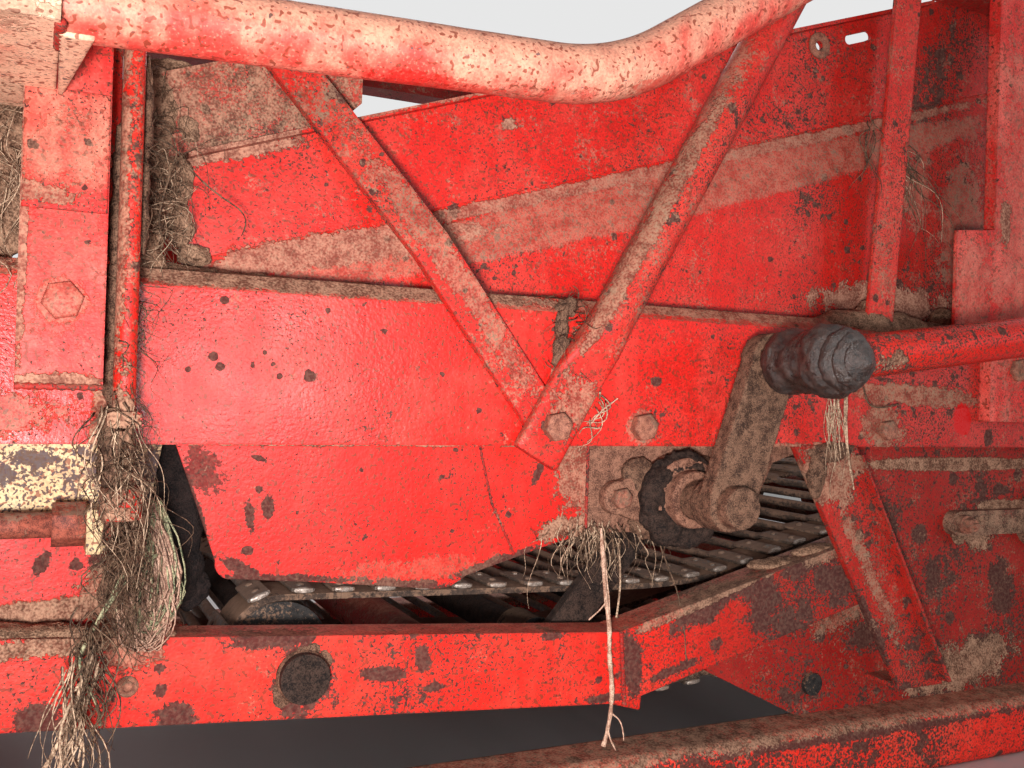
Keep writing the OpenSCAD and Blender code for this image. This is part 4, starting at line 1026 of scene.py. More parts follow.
@dataclass
class GuardRail:
    """The bent rail outside the near side, with its stay to the top rail."""

    depth: float = -187.0
    radius: float = 21.2
    start: tuple[float, float] = (158.0, 646.5)
    bend_station: float = 483.0
    bend_radius: float = 190.0
    slope: float = 2.3
    rise: float = 33.0
    stay_height: float = 936.0
    stay_radius: float = 17.0
    past: float = 24.0

    def line(self) -> tuple[np.ndarray, float]:
        """Straight run, arc and rising run: z follows the slope, the circle and the rise.

        Returns:
            Points along the rail's middle line, and the station where it meets the stay.
        """
        low, high = math.radians(self.slope), math.radians(self.rise)
        foot = self.start[1] + (self.bend_station - self.start[0]) * math.tan(low)
        up = np.array([-math.sin(low), math.cos(low)])
        centre = np.array([self.bend_station, foot]) + self.bend_radius * up
        a = np.linspace(low, high, 26)
        arc = centre + self.bend_radius * np.stack([np.sin(a), -np.cos(a)], axis=-1)
        stay_station = float(arc[-1, 0] + (self.stay_height - arc[-1, 1]) / math.tan(high))
        way = np.array([math.cos(high), math.sin(high)])
        end = np.array([stay_station, self.stay_height]) + self.past * way
        first = np.linspace(np.array(self.start), arc[0], 14, endpoint=False)
        flat = np.concatenate([first, arc, np.linspace(arc[-1], end, 20)[1:]])
        return np.insert(flat, 1, self.depth, axis=1), stay_station

    def build(self, paints: Paints) -> None:
        """Carries a slightly uneven circle along the line, and a plain one along the stay."""
        line, station = self.line()
        ring = tube(line, section(40) * self.radius)
        ring += unit(ring - line[:, None]) * (0.35 * lumps(ring, 60.0, seed=3))[..., None]
        stay = np.linspace([station, self.depth, self.stay_height], [station, 0.0, self.stay_height], 9)
        shell = Shell().capped(ring).capped(tube(stay, section(32) * self.stay_radius, ALONG))
        rail = shell.piece("guard_rail_tube", paints["rail_pale"], "frame", "pale_paint")
        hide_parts("guard_rail")


@dataclass
class RoundBrace:
    """A tube pressed flat at both ends, from the beam's apex up to the top rail."""

    apex: tuple[float, float] = (582.0, 396.0)
    top: tuple[float, float] = (896.0, 943.0)
    radius: float = 21.2
    half_width: float = 24.0
    half_thick: float = 6.0
    foot_depth: float = -16.0
    top_depth: float = -6.0

    def grid(self) -> np.ndarray:
        """Section goes from a flat superellipse to a circle and back, by smooth steps along the tube."""
        run = np.array(self.top) - np.array(self.apex)
        long = float(np.linalg.norm(run))
        along = np.concatenate([
            [-34.0, -33.0, -31.0], np.linspace(-26.0, 40.0, 8), np.linspace(44.0, 116.0, 20),
            np.linspace(124.0, long - 100.0, 30), np.linspace(long - 94.0, long - 40.0, 18),
            np.linspace(long - 34.0, long + 11.0, 6), [long + 14.0, long + 15.0]])
        foot = 1.0 - ease(along, 42.0, 114.0)
        head = ease(along, long - 94.0, long - 42.0)
        flat = foot + head
        wide = self.radius + (self.half_width - self.radius) * flat
        thick = self.radius + (self.half_thick - self.radius) * flat
        round_end = np.minimum(along + 34.0, long + 15.0 - along)
        wide = wide - 1.6 * (1.0 - ease(round_end, 0.0, 3.0))
        thick = thick - 1.2 * (1.0 - ease(round_end, 0.0, 3.0))
        depth = -self.radius * (1.0 - flat) + self.foot_depth * foot + self.top_depth * head
        way = run / long
        line = np.stack([self.apex[0] + along * way[0], depth, self.apex[1] + along * way[1]], axis=-1)
        across = np.array([way[1], 0.0, -way[0]])
        out = section(44, 2.0 + 5.0 * flat)
        return (line[:, None] + out[..., :1] * wide[:, None, None] * across
                + out[..., 1:] * thick[:, None, None] * np.array(ACROSS))

    def build(self, paints: Paints) -> None:
        """Makes the near brace and its twin on the far side."""
        near = self.grid()
        shell = Shell().capped(near).capped(twin(near))
        brace = shell.piece("round_braces", paints["brace_red"], "frame", "red_paint")
        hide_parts("tube_braces")


@dataclass
class SievingWeb:
    """Three belts and the rods riveted across them, one closed loop.

    The circles that the loop touches are x, z and radius, which is below zero where it turns back.
    """

    circles: tuple[Point, ...] = (
        (760.0, 761.0, 650.0), (1330.0, 281.0, 62.0), (760.0, 869.0, -650.0), (363.0, 181.0, 50.0))
    belts: tuple[float, ...] = (90.0, 370.0, 650.0)
    belt_width: float = 60.0
    belt_half: float = 4.0
    pitch: float = 40.0
    rod_radius: float = 5.5
    flat_half_width: float = 11.0
    flat_half_thick: float = 2.2
    blend: float = 16.0
    end_half: tuple[float, float] = (9.0, 2.6)
    rivet_offset: float = 16.0
    rivet_sunk: float = 0.4

    def loop(self) -> tuple[np.ndarray, np.ndarray, float]:
        """Closed line that touches the four circles, sampled evenly by length.

        Returns:
            Points as x and z, outward normals, and the line's length.
        """
        c = np.array(self.circles)
        nxt = np.roll(c, -1, axis=0)
        d = nxt[:, :2] - c[:, :2]
        head = np.arctan2(d[:, 1], d[:, 0]) - np.arcsin((nxt[:, 2] - c[:, 2]) / np.hypot(d[:, 0], d[:, 1]))
        start, side = np.roll(head, 1), np.sign(c[:, 2])
        turn = side * np.mod(side * (head - start), 2.0 * np.pi)
        part = np.linspace(0.0, 1.0, 60)
        a = (start[:, None] + turn[:, None] * part).ravel()
        left = np.stack([-np.sin(a), np.cos(a)], axis=-1)
        line = np.repeat(c[:, :2], 60, axis=0) - np.repeat(c[:, 2], 60)[:, None] * left
        closed = np.vstack([line, line[:1]])
        reach = np.concatenate([[0.0], np.cumsum(np.linalg.norm(np.diff(closed, axis=0), axis=1))])
        total = float(reach[-1])
        even = np.linspace(0.0, total, 720, endpoint=False)
        points = np.stack([np.interp(even, reach, closed[:, k]) for k in (0, 1)], axis=-1)
        ahead = unit(np.roll(points, -1, axis=0) - np.roll(points, 1, axis=0))
        return points, np.stack([ahead[:, 1], -ahead[:, 0]], axis=-1), total

    def build(self, paints: Paints) -> None:
        """Carries the belt outline round the loop, then lays rods and rivets over the belts."""
        points, out, total = self.loop()
        belt = Shell()
        outline = section(20, 9.0) * np.array([self.belt_half, self.belt_width / 2.0])
        coarse = slice(None, None, 3)
        for start in self.belts:
            base = np.insert(points[coarse], 1, start + self.belt_width / 2.0, axis=1)[:, None]
            n = np.insert(out[coarse], 1, 0.0, axis=1)[:, None]
            belt.add(base + outline[:, :1] * n + outline[:, 1:] * np.array(ACROSS), ring=True)
        belts = belt.piece("web_belts", paints["belt_rubber"], "frame", "web_steel")
        count = round(total / self.pitch)
        place = ((np.arange(count) + 0.5) / count * len(points)).astype(int)
        middle, n = np.insert(points[place], 1, 0.0, axis=1), np.insert(out[place], 1, 0.0, axis=1)
        t = np.stack([n[:, 2], np.zeros(count), -n[:, 0]], axis=-1)
        rods = Shell().capped(self.rods(middle, n, t)).piece(
            "web_rods", paints["web_rods"], "frame", "web_steel")
        self.rivets(middle, n, t).piece("web_rivets", paints["web_rods"], "frame", "web_steel")
        self.ends(middle, n, t).piece("web_rod_ends", paints["bright_steel"], "frame", "web_steel")
        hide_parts("web")
        LOG.info("web of %d rods, belts %s", count, belts.name)

    def rods(self, middle: np.ndarray, n: np.ndarray, t: np.ndarray) -> np.ndarray:
        """Rods: flat and raised on each belt, round between, by smooth steps of the distance to a belt.

        Args:
            middle: Where each rod crosses the line.
            n: Outward normals.
            t: Directions along the line.

        Returns:
            One grid a rod.
        """
        first, last = self.belts[0] + 1.0, self.belts[-1] + self.belt_width - 1.0
        y = np.unique(np.concatenate([[first, first + 1.0, last - 1.0, last]] + [
            np.clip(np.linspace(b - self.blend, b + self.belt_width + self.blend, 15), first, last)
            for b in self.belts]))
        half = self.belt_width / 2.0
        away = np.min([np.abs(y - b - half) - half for b in self.belts], axis=0)
        flat = 1.0 - ease(away, 1.0, self.blend - 1.0)
        raised = flat * (self.belt_half + self.flat_half_thick)
        thick = self.rod_radius + (self.flat_half_thick - self.rod_radius) * flat
        wide = self.rod_radius + (self.flat_half_width - self.rod_radius) * flat
        out = section(10, 2.0 + 3.0 * flat)
        grid = (middle[:, None, None] + np.array(ACROSS) * y[None, :, None, None]
                + n[:, None, None] * (raised[:, None] + out[..., 1] * thick[:, None])[None, ..., None]
                + t[:, None, None] * (out[..., 0] * wide[:, None])[None, ..., None])
        return grid + n[:, None, None] * 0.5 * lumps(grid, 45.0, seed=5, octaves=1)[..., None]

    def ends(self, middle: np.ndarray, n: np.ndarray, t: np.ndarray) -> Shell:
        """Worn bright rod ends that stand 3 mm past the outer belts: flat, rounded bars."""
        shell = Shell()
        raised = middle + n * (self.belt_half + self.flat_half_thick)
        near = np.array([-3.0, -2.0, 1.5]) + self.belts[0]
        far = np.array([-1.5, 2.0, 3.0]) + self.belts[-1] + self.belt_width
        for y, taper in ((near, (0.7, 1.0, 1.0)), (far, (1.0, 1.0, 0.7))):
            out = section(10, 3.0) * np.array(taper)[:, None, None]
            shell.capped(raised[:, None, None] + np.array(ACROSS) * y[None, :, None, None]
                         + n[:, None, None] * (out[..., 1] * self.end_half[1])[None, ..., None]
                         + t[:, None, None] * (out[..., 0] * self.end_half[0])[None, ..., None])
        return shell

    def rivets(self, middle: np.ndarray, n: np.ndarray, t: np.ndarray) -> Shell:
        """Two domed rivet heads a rod and belt: height falls off as the square of the radius."""
        shell = Shell()
        a = np.linspace(0.0, 2.0 * np.pi, 8, endpoint=False)
        profile = np.array([[0.0, 4.2], [1.4, 4.0], [2.4, 2.6], [2.8, 0.0]])
        lift = self.belt_half + 2.0 * self.flat_half_thick - self.rivet_sunk
        for start in self.belts:
            for off in (-self.rivet_offset, self.rivet_offset):
                y = start + self.belt_width / 2.0 + off
                centre = middle + np.array([0.0, y, 0.0]) + n * lift
                ring = ((profile[:, 1, None] * np.cos(a))[None, ..., None] * t[:, None, None]
                        + (profile[:, 1, None] * np.sin(a))[None, ..., None] * np.array(ACROSS))
                shell.capped(centre[:, None, None] + ring + profile[None, :, :1, None] * n[:, None, None])
        return shell


class Head(Enum):
    """Kinds of fastener."""

    HEX = "hex head"
    LOW = "low hex head under dust"
    NUT = "hex nut on a washer, with its bolt's end"
    PLUG = "sunk plug"


@dataclass(frozen=True)
class Fastener:
    """A fastener whose axis points out of the near side; on the side frame it has a far twin. In mm."""

    kind: Head
    station: float
    depth: float
    height: float
    across: float = 24.0

    def grids(self) -> list[np.ndarray]:
        """Profiles of the head, its washer and a bolt's end, turned round the axis."""
        r, tall = self.across / 2.0, self.across * 0.42
        top = tall * 1.7
        rows, hexed = {
            Head.HEX: ([(0, 0), (0, r * 0.99), (1.0, r), (tall, r), (tall + 1.0, r * 0.93),
                        (tall + 1.4, r * 0.6), (tall + 0.8, r * 0.5), (tall + 0.8, 0)], (1, 2, 3)),
            Head.LOW: ([(0, 0), (0, r), (2.0, r), (r * 0.36, r * 0.96), (r * 0.46, r * 0.8),
                        (r * 0.5, 0)], (1, 2, 3)),
            Head.NUT: ([(0, 0), (0, r * 1.42), (2.2, r * 1.42), (2.4, r), (top, r), (top + 1.2, r * 0.9),
                        (top + 1.2, r * 0.5), (top + 5.0, r * 0.47), (top + 5.6, r * 0.4),
                        (top + 5.6, 0)], (3, 4)),
            Head.PLUG: ([(0, 0), (0, r), (1.6, r * 0.98), (2.4, r * 0.86), (1.2, r * 0.66), (0.9, r * 0.5),
                         (2.2, r * 0.36), (2.4, 0)], ()),
        }[self.kind]
        near = turned(rows, (self.station, self.depth + 0.2, self.height), OUTWARD, 36, hexed)
        return [near] if self.depth < NEAR_ONLY_DEPTH else [near, twin(near)]


RED_FASTENERS = (
    Fastener(Head.LOW, 167.0, -60.0, 482.0, 25.0),
    Fastener(Head.HEX, 328.0, 40.0, 727.0, 19.0),
)
DUSTY_FASTENERS = (
    Fastener(Head.HEX, 690.0, 0.0, 396.0),
    Fastener(Head.HEX, 1013.0, 0.0, 396.0, 20.0),
    Fastener(Head.HEX, 582.0, -22.0, 396.0),
    Fastener(Head.PLUG, 224.0, 8.0, 186.0, 17.0),
    Fastener(Head.HEX, 690.0, 36.0, 322.0, 19.0),
    Fastener(Head.HEX, 834.0, 36.0, 322.0, 19.0),
    Fastener(Head.HEX, 896.0, -12.0, 943.0, 22.0),
    Fastener(Head.NUT, 1180.0, 28.0, 281.0, 16.0),
    Fastener(Head.HEX, 1207.0, -11.0, 470.0, 24.0),
)


@dataclass
class Fittings:
    """Fasteners, the panel's washer, weld beads and gussets."""

    washer: Point = (951.0, 54.8, 833.5)

    def build(self, paints: Paints) -> None:
        """Builds each family as one piece."""
        for name, family, finish in (("bolts_red", RED_FASTENERS, "post_red"),
                                     ("bolts_dusty", DUSTY_FASTENERS, "bolt_steel")):
            heads = Shell()
            for one in family:
                for grid in one.grids():
                    heads.add(grid)
            heads.piece(name, paints[finish], "frame", "rusty_steel", HEAD_CREASE)
        rows = [(0.0, 5.6), (0.0, 15.0), (2.0, 15.0), (3.0, 13.6), (3.0, 7.4), (1.4, 5.6)]
        ring = turned(rows, self.washer, OUTWARD, 36)
        Shell().add(ring, ring=True).add(twin(ring), ring=True).piece(
            "panel_washers", paints["bolt_steel"], "frame", "rusty_steel")
        self.welds(paints)
        self.gussets(paints)

    def welds(self, paints: Paints) -> None:
        """Beads along joints: a tube whose radius ripples with the distance along it."""
        runs = (
            ((138, -60, 421), (195, -60, 421), 2.4), ((158, -209, 628), (158, -165, 628), 3.0),
            ((158, -209, 728), (158, -165, 728), 3.0), ((678, 7.4, 194), (684, 7.4, 122), 2.2),
            ((1100, -16, 491), (1162, -16, 491), 2.4), ((892, -0.5, 376), (968, -0.5, 376), 3.0),
            ((539, 49.6, 374), (553, 49.6, 319), 1.3), ((553, 49.6, 319), (579, 49.6, 268), 1.3),
            ((659, 49.6, 376), (659, 49.6, 287), 1.6))
        step, ripple, pace = 2.2, 0.22, 2.1
        shell = Shell()
        for start, end, radius in runs:
            a, b = np.array(start, float), np.array(end, float)
            count = max(8, int(np.linalg.norm(b - a) / step))
            size = radius * (1.0 + ripple * np.sin(np.arange(count) * pace))
            across = (0.0, 1.0, 0.02) if abs(b - a)[1] < 1.0 else (1.0, 0.0, 0.02)
            grid = tube(np.linspace(a, b, count), section(10) * size[:, None, None], across)
            shell.capped(grid)
            if a[1] > NEAR_ONLY_DEPTH:
                shell.capped(twin(grid))
        shell.piece("weld_beads", paints["strut_red"], "frame", "red_paint")

    def gussets(self, paints: Paints) -> None:
        """Wedges under the mitred bend and the rail's root: a rounded bar that narrows from root to tip."""
        share = np.linspace(1.0, 0.14, 9)[:, None]
        for name, finish, slot, root, tip, wide, thick, across in (
            ("bend_gussets", "lower_red", "red_paint", (716.0, 30.0, 118.0), (668.0, 30.0, 122.5),
             11.0 * share, np.full((9, 1), 3.0), ACROSS),
            ("rail_gusset", "bracket_pale", "pale_paint", (167.0, -196.0, 626.5), (161.0, -61.0, 626.5),
             np.full((9, 1), 2.0), 9.5 * share, ALONG),
        ):
            outline = section(20, 6.0) * np.stack([wide, thick], axis=-1)
            grid = tube(np.linspace(root, tip, 9), outline, across)
            shell = Shell().capped(grid)
            if root[1] > NEAR_ONLY_DEPTH:
                shell.capped(twin(grid))
            shell.piece(name, paints[finish], "frame", slot)


# Boot on the rod's eye, from its outer end: distance along the pin and radius in mm
BOOT_PROFILE = (
    (-36, 0), (-35.6, 3), (-33, 7), (-30, 11), (-27, 15), (-24.5, 19), (-23, 18.4), (-21, 22.5), (-17, 25.5),
    (-15, 25), (-13, 27.6), (-10, 30), (-6, 30.5), (-4, 29.6), (-1.5, 32), (2, 33.5), (6, 34), (12, 34.5),
    (18, 34), (22, 31.5), (30, 31), (42, 32), (52, 31.5), (58, 33.5), (62, 34), (68, 33), (74, 30), (80, 27),
    (84, 21), (84, 13.2),
)


@dataclass
class Agitator:
    """Soil-caked rocker arm and bearings, the greasy boot on the rod's eye, and the rod. In mm."""

    bearing: Point = (764.0, 42.0, 320.0)
    mud_middle: tuple[float, float] = (12.0, 36.0)
    mud_half: tuple[float, float] = (14.0, 16.0)
    mud_least: float = -7.0
    pin: tuple[float, float] = (812.07, 463.4)
    eye_start: float = -138.0
    rod_depth: float = -113.0
    rod_rise: float = 7.6
    rod_length: float = 600.0
    rod_radius: float = 21.0

    def build(self, paints: Paints) -> None:
        """Builds the caked pieces, the mud round the bearing, the boot and the rod."""
        for node, name, finish, body, voxel, crust, seed in (
            ("rocker_arm", "rocker_arm_caked", "caked_soil", "agitator", 1.8, 1.0, 11),
            ("flange_bearings", "bearings_caked", "bearing_soil", "frame", 1.9, 1.3, 12),
        ):
            piece = bpy.data.objects.new(name, caked(node, voxel, crust, 14.0, seed))
            settle(piece, paints[finish], body, CAKED_CREASE)
            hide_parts(node)
        self.mud_ring(paints)
        self.boot(paints)
        self.rod(paints)

    def mud_ring(self, paints: Paints) -> None:
        """Lumpy ring of greasy mud round each bearing housing: a torus pushed out by noise."""
        a = np.linspace(0.0, 2.0 * np.pi, 40, endpoint=False)
        middle, half = np.array(self.mud_middle), np.array(self.mud_half)
        ring = turned(middle + half * np.stack([np.sin(a), np.cos(a)], axis=-1), self.bearing, OUTWARD, 180)
        core = turned(np.broadcast_to(middle, (40, 2)), self.bearing, OUTWARD, 180)
        rough = 9.0 * lumps(ring, 26.0, seed=31) + 5.0 * lumps(ring, 8.0, seed=32)
        ring = ring + unit(ring - core) * np.maximum(rough, self.mud_least)[..., None]
        shell = Shell()
        for grid in (ring, twin(ring)):
            shell.add(np.concatenate([grid, grid[:1]]))
        shell.piece("bearing_mud", paints["dark_mud"], "frame", "soiled_steel", NO_CREASE)

    def boot(self, paints: Paints) -> None:
        """Rubber boot: a turned profile with waists and a ridged end, made lumpy with grease."""
        at, size = np.array(BOOT_PROFILE).T
        count = 120
        steps = np.linspace(0, len(at) - 1, count)
        along, radius = (np.interp(steps, np.arange(len(at)), values) for values in (at, size))
        start = (self.pin[0], self.eye_start, self.pin[1])
        grid = turned(np.stack([along, radius], axis=-1), start, ACROSS, 100)
        still = np.ones(count)
        axis = np.stack([self.pin[0] * still, self.eye_start + along, self.pin[1] * still], axis=-1)[:, None]
        skin = ease(radius, 4.0, 30.0)[:, None]
        mound = 3.6 * lumps(grid, 24.0, seed=7, octaves=2) + 2.6 * lumps(grid, 9.0, seed=9) - 0.8
        grain = 0.6 * ease(radius, 2.0, 8.0)[:, None] * lumps(grid, 3.2, seed=8, octaves=1)
        grid = grid + unit(grid - axis) * (skin * mound + grain)[..., None]
        boot = Shell().add(grid).piece(
            "eye_boot", paints["grease_boot"], "drive_rod", "greasy_rubber", CAKED_CREASE)
        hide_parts("rod_eye")

    def rod(self, paints: Paints) -> None:
        """Rod tube with a slightly swollen weld at the eye, and the plain rear eye."""
        rise = math.radians(self.rod_rise)
        way = np.array([math.cos(rise), 0.0, math.sin(rise)])
        start = np.array([self.pin[0], self.rod_depth, self.pin[1]])
        along = np.concatenate([np.linspace(31.0, 60.0, 12), np.linspace(68.0, self.rod_length - 24.0, 60)])
        weld, weld_width, weld_rise = 38.0, 6.0, 2.2
        radius = self.rod_radius + weld_rise * np.exp(-(((along - weld) / weld_width) ** 2))
        line = start + along[:, None] * way
        shell = Shell().capped(tube(line, section(40) * radius[:, None, None]))
        end = start + self.rod_length * way
        bore, eye, long = 12.5, 29.0, 56.0
        rows = [(0.0, bore), (0.0, eye - 1.0), (1.0, eye), (long - 1.0, eye), (long, eye - 1.0), (long, bore)]
        ring = turned(rows, (end[0], self.rod_depth - long / 2.0, end[2]), ACROSS, 48)
        rod = shell.add(ring, ring=True).piece("drive_rod_tube", paints["rod_red"], "drive_rod", "worn_paint")
        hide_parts("drive_rod")


@dataclass
class ControlRod:
    """The upright rod in front of the beam, with its clip, guide lug and sleeve."""

    station: float = 211.0
    depth: float = -40.0

    def build(self, paints: Paints) -> None:
        """Turns the rod and its sleeve in one profile; clip and lug are rounded bars."""
        profile = [(324, 0), (324, 14), (325, 15), (347, 15), (348, 14), (348, 8.6), (390, 8.2), (560, 8.0),
                   (744, 8.0), (745, 7.4), (745, 0)]
        shell = Shell().add(turned(profile, (self.station, self.depth, 0.0), UP, 32))
        lug = np.linspace([self.station, self.depth - 12.0, 398.0], [self.station, 0.0, 398.0], 4)
        shell.capped(tube(lug, section(20, 8.0) * [6.0, 12.0], ALONG))
        clip = np.linspace([195.0, self.depth, 698.0], [self.station + 8.0, self.depth, 698.0], 4)
        shell.capped(tube(clip, section(20, 8.0) * [8.0, 12.0]))
        rod = shell.piece("control_rod_bar", paints["control_red"], "frame", "red_paint")
        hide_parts("control_rod")
        self.plates(paints)

    def plates(self, paints: Paints) -> None:
        """Flat bars with rounded edges: the guide strip behind the rod, the sleeve over the post's head."""
        strip = np.linspace([200.5, 8.0, 514.0], [200.5, 8.0, 699.0], 6)
        sleeve = np.linspace([166.5, -61.4, 545.0], [166.5, -61.4, 629.0], 6)
        for name, finish, slot, line, size in (
            ("guide_strip", "control_red", "red_paint", strip, (2.5, 5.5)),
            ("post_sleeve", "sleeve_red", "pale_paint", sleeve, (1.7, 27.6)),
        ):
            Shell().capped(tube(line, section(24, 9.0) * np.array(size), ALONG)).piece(
                name, paints[finish], "frame", slot)


@dataclass(frozen=True)
class Clod:
    """A lump of soil: middle and half sizes in mm, and how rough it is."""

    station: float
    depth: float
    height: float
    along: float
    deep: float
    tall: float
    rough: float = 0.28

    def grid(self, seed: int) -> np.ndarray:
        """Ellipsoid scaled by one plus rough times broad lumps, and moved out by 1.8 mm of fine crumbs.

        Args:
            seed: Picks the pattern.

        Returns:
            The grid, closed at its poles.
        """
        rows, sides = 34, 44
        u = np.linspace(0.0, np.pi, rows)[:, None]
        v = np.linspace(0.0, 2.0 * np.pi, sides, endpoint=False)[None]
        ball = np.stack([np.sin(u) * np.cos(v), np.sin(u) * np.sin(v), np.cos(u) * np.ones_like(v)], axis=-1)
        half = np.array([self.along, self.deep, self.tall])
        solid = ball * half
        size = max(6.0, float(np.median(half)) * 1.1)
        grow = 1.0 + self.rough * lumps(solid + 100.0 * seed, size, seed)
        crumbs = 1.8 * lumps(solid + 70.0 * seed, 5.0, seed + 3, octaves=2)
        middle = np.array([self.station, self.depth, self.height])
        grid = middle + solid * grow[..., None] + ball * crumbs[..., None]
        grid[0], grid[-1] = grid[0].mean(axis=0), grid[-1].mean(axis=0)
        return grid


DRY_CLODS = tuple(Clod(*numbers) for numbers in (
    (1000, 26, 514, 60, 23, 18, 0.4), (1050, 25, 513, 56, 22, 15, 0.4), (960, 26, 514, 34, 20, 9),
    (1090, 28, 514, 38, 18, 9), (1012, 24, 528, 24, 18, 14, 0.4), (1140, 34, 524, 24, 14, 16, 0.4),
    (300, 43, 515, 70, 9, 7), (400, 43, 515, 80, 9, 5), (250, 40, 516, 40, 11, 9), (500, 44, 515, 70, 8, 4),
    (610, 43, 515, 60, 9, 6), (700, 44, 515, 70, 8, 4), (800, 44, 515, 70, 8, 5), (890, 44, 515, 60, 8, 5),
    (226, 36, 520, 22, 12, 18), (170, 28, 224, 70, 18, 10), (230, 26, 220, 34, 18, 12),
    (110, 30, 229, 70, 18, 8), (960, 30, 258, 50, 16, 9), (905, 30, 246, 50, 16, 7),
    (1211, 40, 282, 17, 4, 14, 0.6), (1184, 42, 264, 12, 3, 9, 0.6), (257, 52, 596, 10, 6, 20, 0.5),
    (256, 52, 558, 12, 6, 16, 0.5), (262, 52, 640, 9, 5, 14, 0.5), (270, 50, 534, 14, 7, 9, 0.5),
    (238, 15, 272, 16, 11, 50, 0.25), (236, 44, 560, 10, 10, 40, 0.5), (232, 54, 640, 24, 9, 46, 0.4),
    (236, 56, 586, 22, 9, 56, 0.4), (222, 40, 544, 18, 12, 30, 0.4), (252, 72, 622, 14, 7, 50, 0.2),
    (248, 74, 690, 30, 6, 14, 0.2), (118, 40, 590, 26, 12, 74, 0.35), (96, 40, 530, 34, 14, 26, 0.35),
))
MUD_CLODS = tuple(Clod(*numbers) for numbers in (
    (206, -34, 392, 11, 12, 28, 0.45), (206, -38, 364, 13, 13, 24, 0.45), (212, -36, 340, 13, 12, 22, 0.45),
    (219, -26, 318, 12, 12, 24, 0.45), (220, -14, 292, 10, 11, 24, 0.45), (216, 6, 262, 14, 12, 30, 0.45),
    (204, -28, 430, 8, 10, 30, 0.4), (203, -26, 480, 7, 9, 34, 0.4), (203, -22, 536, 6, 8, 34, 0.4),
    (204, -20, 590, 5, 7, 34, 0.4), (221, -22, 560, 5, 7, 40, 0.4), (222, -22, 630, 5, 7, 40, 0.4),
    (596, -4, 470, 7, 7, 34, 0.5), (604, 2, 508, 12, 8, 9, 0.5), (716, 42, 346, 18, 8, 18, 0.5),
    (728, 44, 292, 22, 8, 12, 0.5), (800, 44, 300, 24, 8, 14, 0.5), (790, 44, 352, 24, 8, 12, 0.5),
    (930, -2, 372, 30, 10, 12, 0.5), (912, -2, 346, 12, 8, 20, 0.5), (346, 8, 168, 9, 3, 12, 0.4),
    (381, 8, 190, 8, 3, 11, 0.4), (368, 8, 202, 12, 2.5, 6, 0.4),
))

# Soil lumps in the recess by the cream bracket and the skirt, near black as painted shade
DARK_CLODS = tuple(Clod(*numbers) for numbers in (
    (262, 68, 322, 28, 13, 66, 0.35), (258, 68, 262, 32, 13, 30, 0.4), (276, 74, 250, 24, 10, 16, 0.5),
))


@dataclass
class Soil:
    """Lumps of soil that lie on ledges, round the rod and at the posts' feet."""

    dry: tuple[Clod, ...] = DRY_CLODS
    mud: tuple[Clod, ...] = MUD_CLODS
    dark: tuple[Clod, ...] = DARK_CLODS
    twins_from: float = 240.0
    hub: Point = (363.0, 8.0, 181.0)

    def build(self, paints: Paints) -> None:
        """Builds dry, muddy and dark lumps as three pieces; those further back have far twins."""
        for name, clods, finish in (("soil_dry", self.dry, "dry_soil"), ("soil_mud", self.mud, "caked_soil"),
                                    ("soil_dark", self.dark, "black_soil")):
            shell = Shell()
            for seed, clod in enumerate(clods):
                grid = clod.grid(20 + seed)
                shell.add(grid)
                if clod.station > self.twins_from:
                    shell.add(twin(grid))
            shell.piece(name, paints[finish], "frame", "soiled_steel", NO_CREASE)
        self.hubs(paints)

    def hubs(self, paints: Paints) -> None:
        """Mud-filled hub caps on the lower beams: a low turned dome, made uneven and ragged by noise."""
        rows = [(-3, 0), (-3, 22.5), (0, 23), (2, 22.6), (4, 21.5), (6, 19.5), (8, 17), (8.6, 14), (8, 11.5),
                (7.4, 9), (8, 6.5), (8.8, 3.5), (9, 0)]
        dome = turned(rows, self.hub, OUTWARD, 60)
        ragged = 0.10 * lumps(dome, 13.0, seed=62)
        raised = 3.4 * lumps(dome, 12.0, seed=61)
        flat = (dome - np.array(self.hub)) * np.array([1.0, 0.0, 1.0])
        above = ease(np.arange(len(rows)), 2.0, 4.0)[:, None, None]
        dome = dome + flat * ragged[..., None] + np.array(OUTWARD) * raised[..., None] * above
        dome[-1] = dome[-1].mean(axis=0)
        Shell().add(dome).add(twin(dome)).piece(
            "hub_mud", paints["caked_soil"], "frame", "soiled_steel", NO_CREASE)


@dataclass(frozen=True)
class Tuft:
    """A tuft of roots or stalks: where it is held, how far it spreads and which way it goes, in mm."""

    name: str
    finish: str
    held: Point
    spread: Point
    way: Point
    count: int
    length: tuple[float, float]
    thick: float = 0.7
    droop: float = 0.5
    curl: float = 0.16
    seed: int = 1
    fan: float = 0.42

    def grids(self) -> np.ndarray:
        """Strands: P(t) = start + L (way t + curl sin(w t + p) - droop t^2 z), thinner towards the tip.

        Returns:
            One grid a strand.
        """
        chance = np.random.default_rng(self.seed)
        t = np.linspace(0.0, 1.0, STRAND_POINTS)
        start = np.array(self.held) + chance.normal(0.0, 1.0, (self.count, 3)) * np.array(self.spread)
        way = unit(np.array(self.way) + chance.normal(0.0, self.fan, (self.count, 3)))
        long = chance.uniform(*self.length, self.count)[:, None, None]
        side = unit(np.cross(way, chance.normal(0.0, 1.0, (self.count, 3))))
        other = np.cross(way, side)
        speed = chance.uniform(3.0, 9.0, (self.count, 2, 1))
        phase = chance.uniform(0.0, 6.3, (self.count, 2, 1))
        wave = np.sin(speed * t + phase) - np.sin(phase)
        curled = wave[:, 0, :, None] * side[:, None] + wave[:, 1, :, None] * other[:, None]
        straight = way[:, None] * t[None, :, None]
        fallen = np.array(UP) * (t**2)[None, :, None]
        path = start[:, None] + long * (straight + self.curl * curled - self.droop * fallen)
        radius = self.thick * chance.uniform(0.5, 1.3, (self.count, 1)) * (1.0 - 0.75 * t)
        path[..., 0] = np.clip(path[..., 0], END_MARGIN, 2.0 * HALF_LENGTH - END_MARGIN)
        return tube(path, section(3) * radius[..., None, None], SKEW)


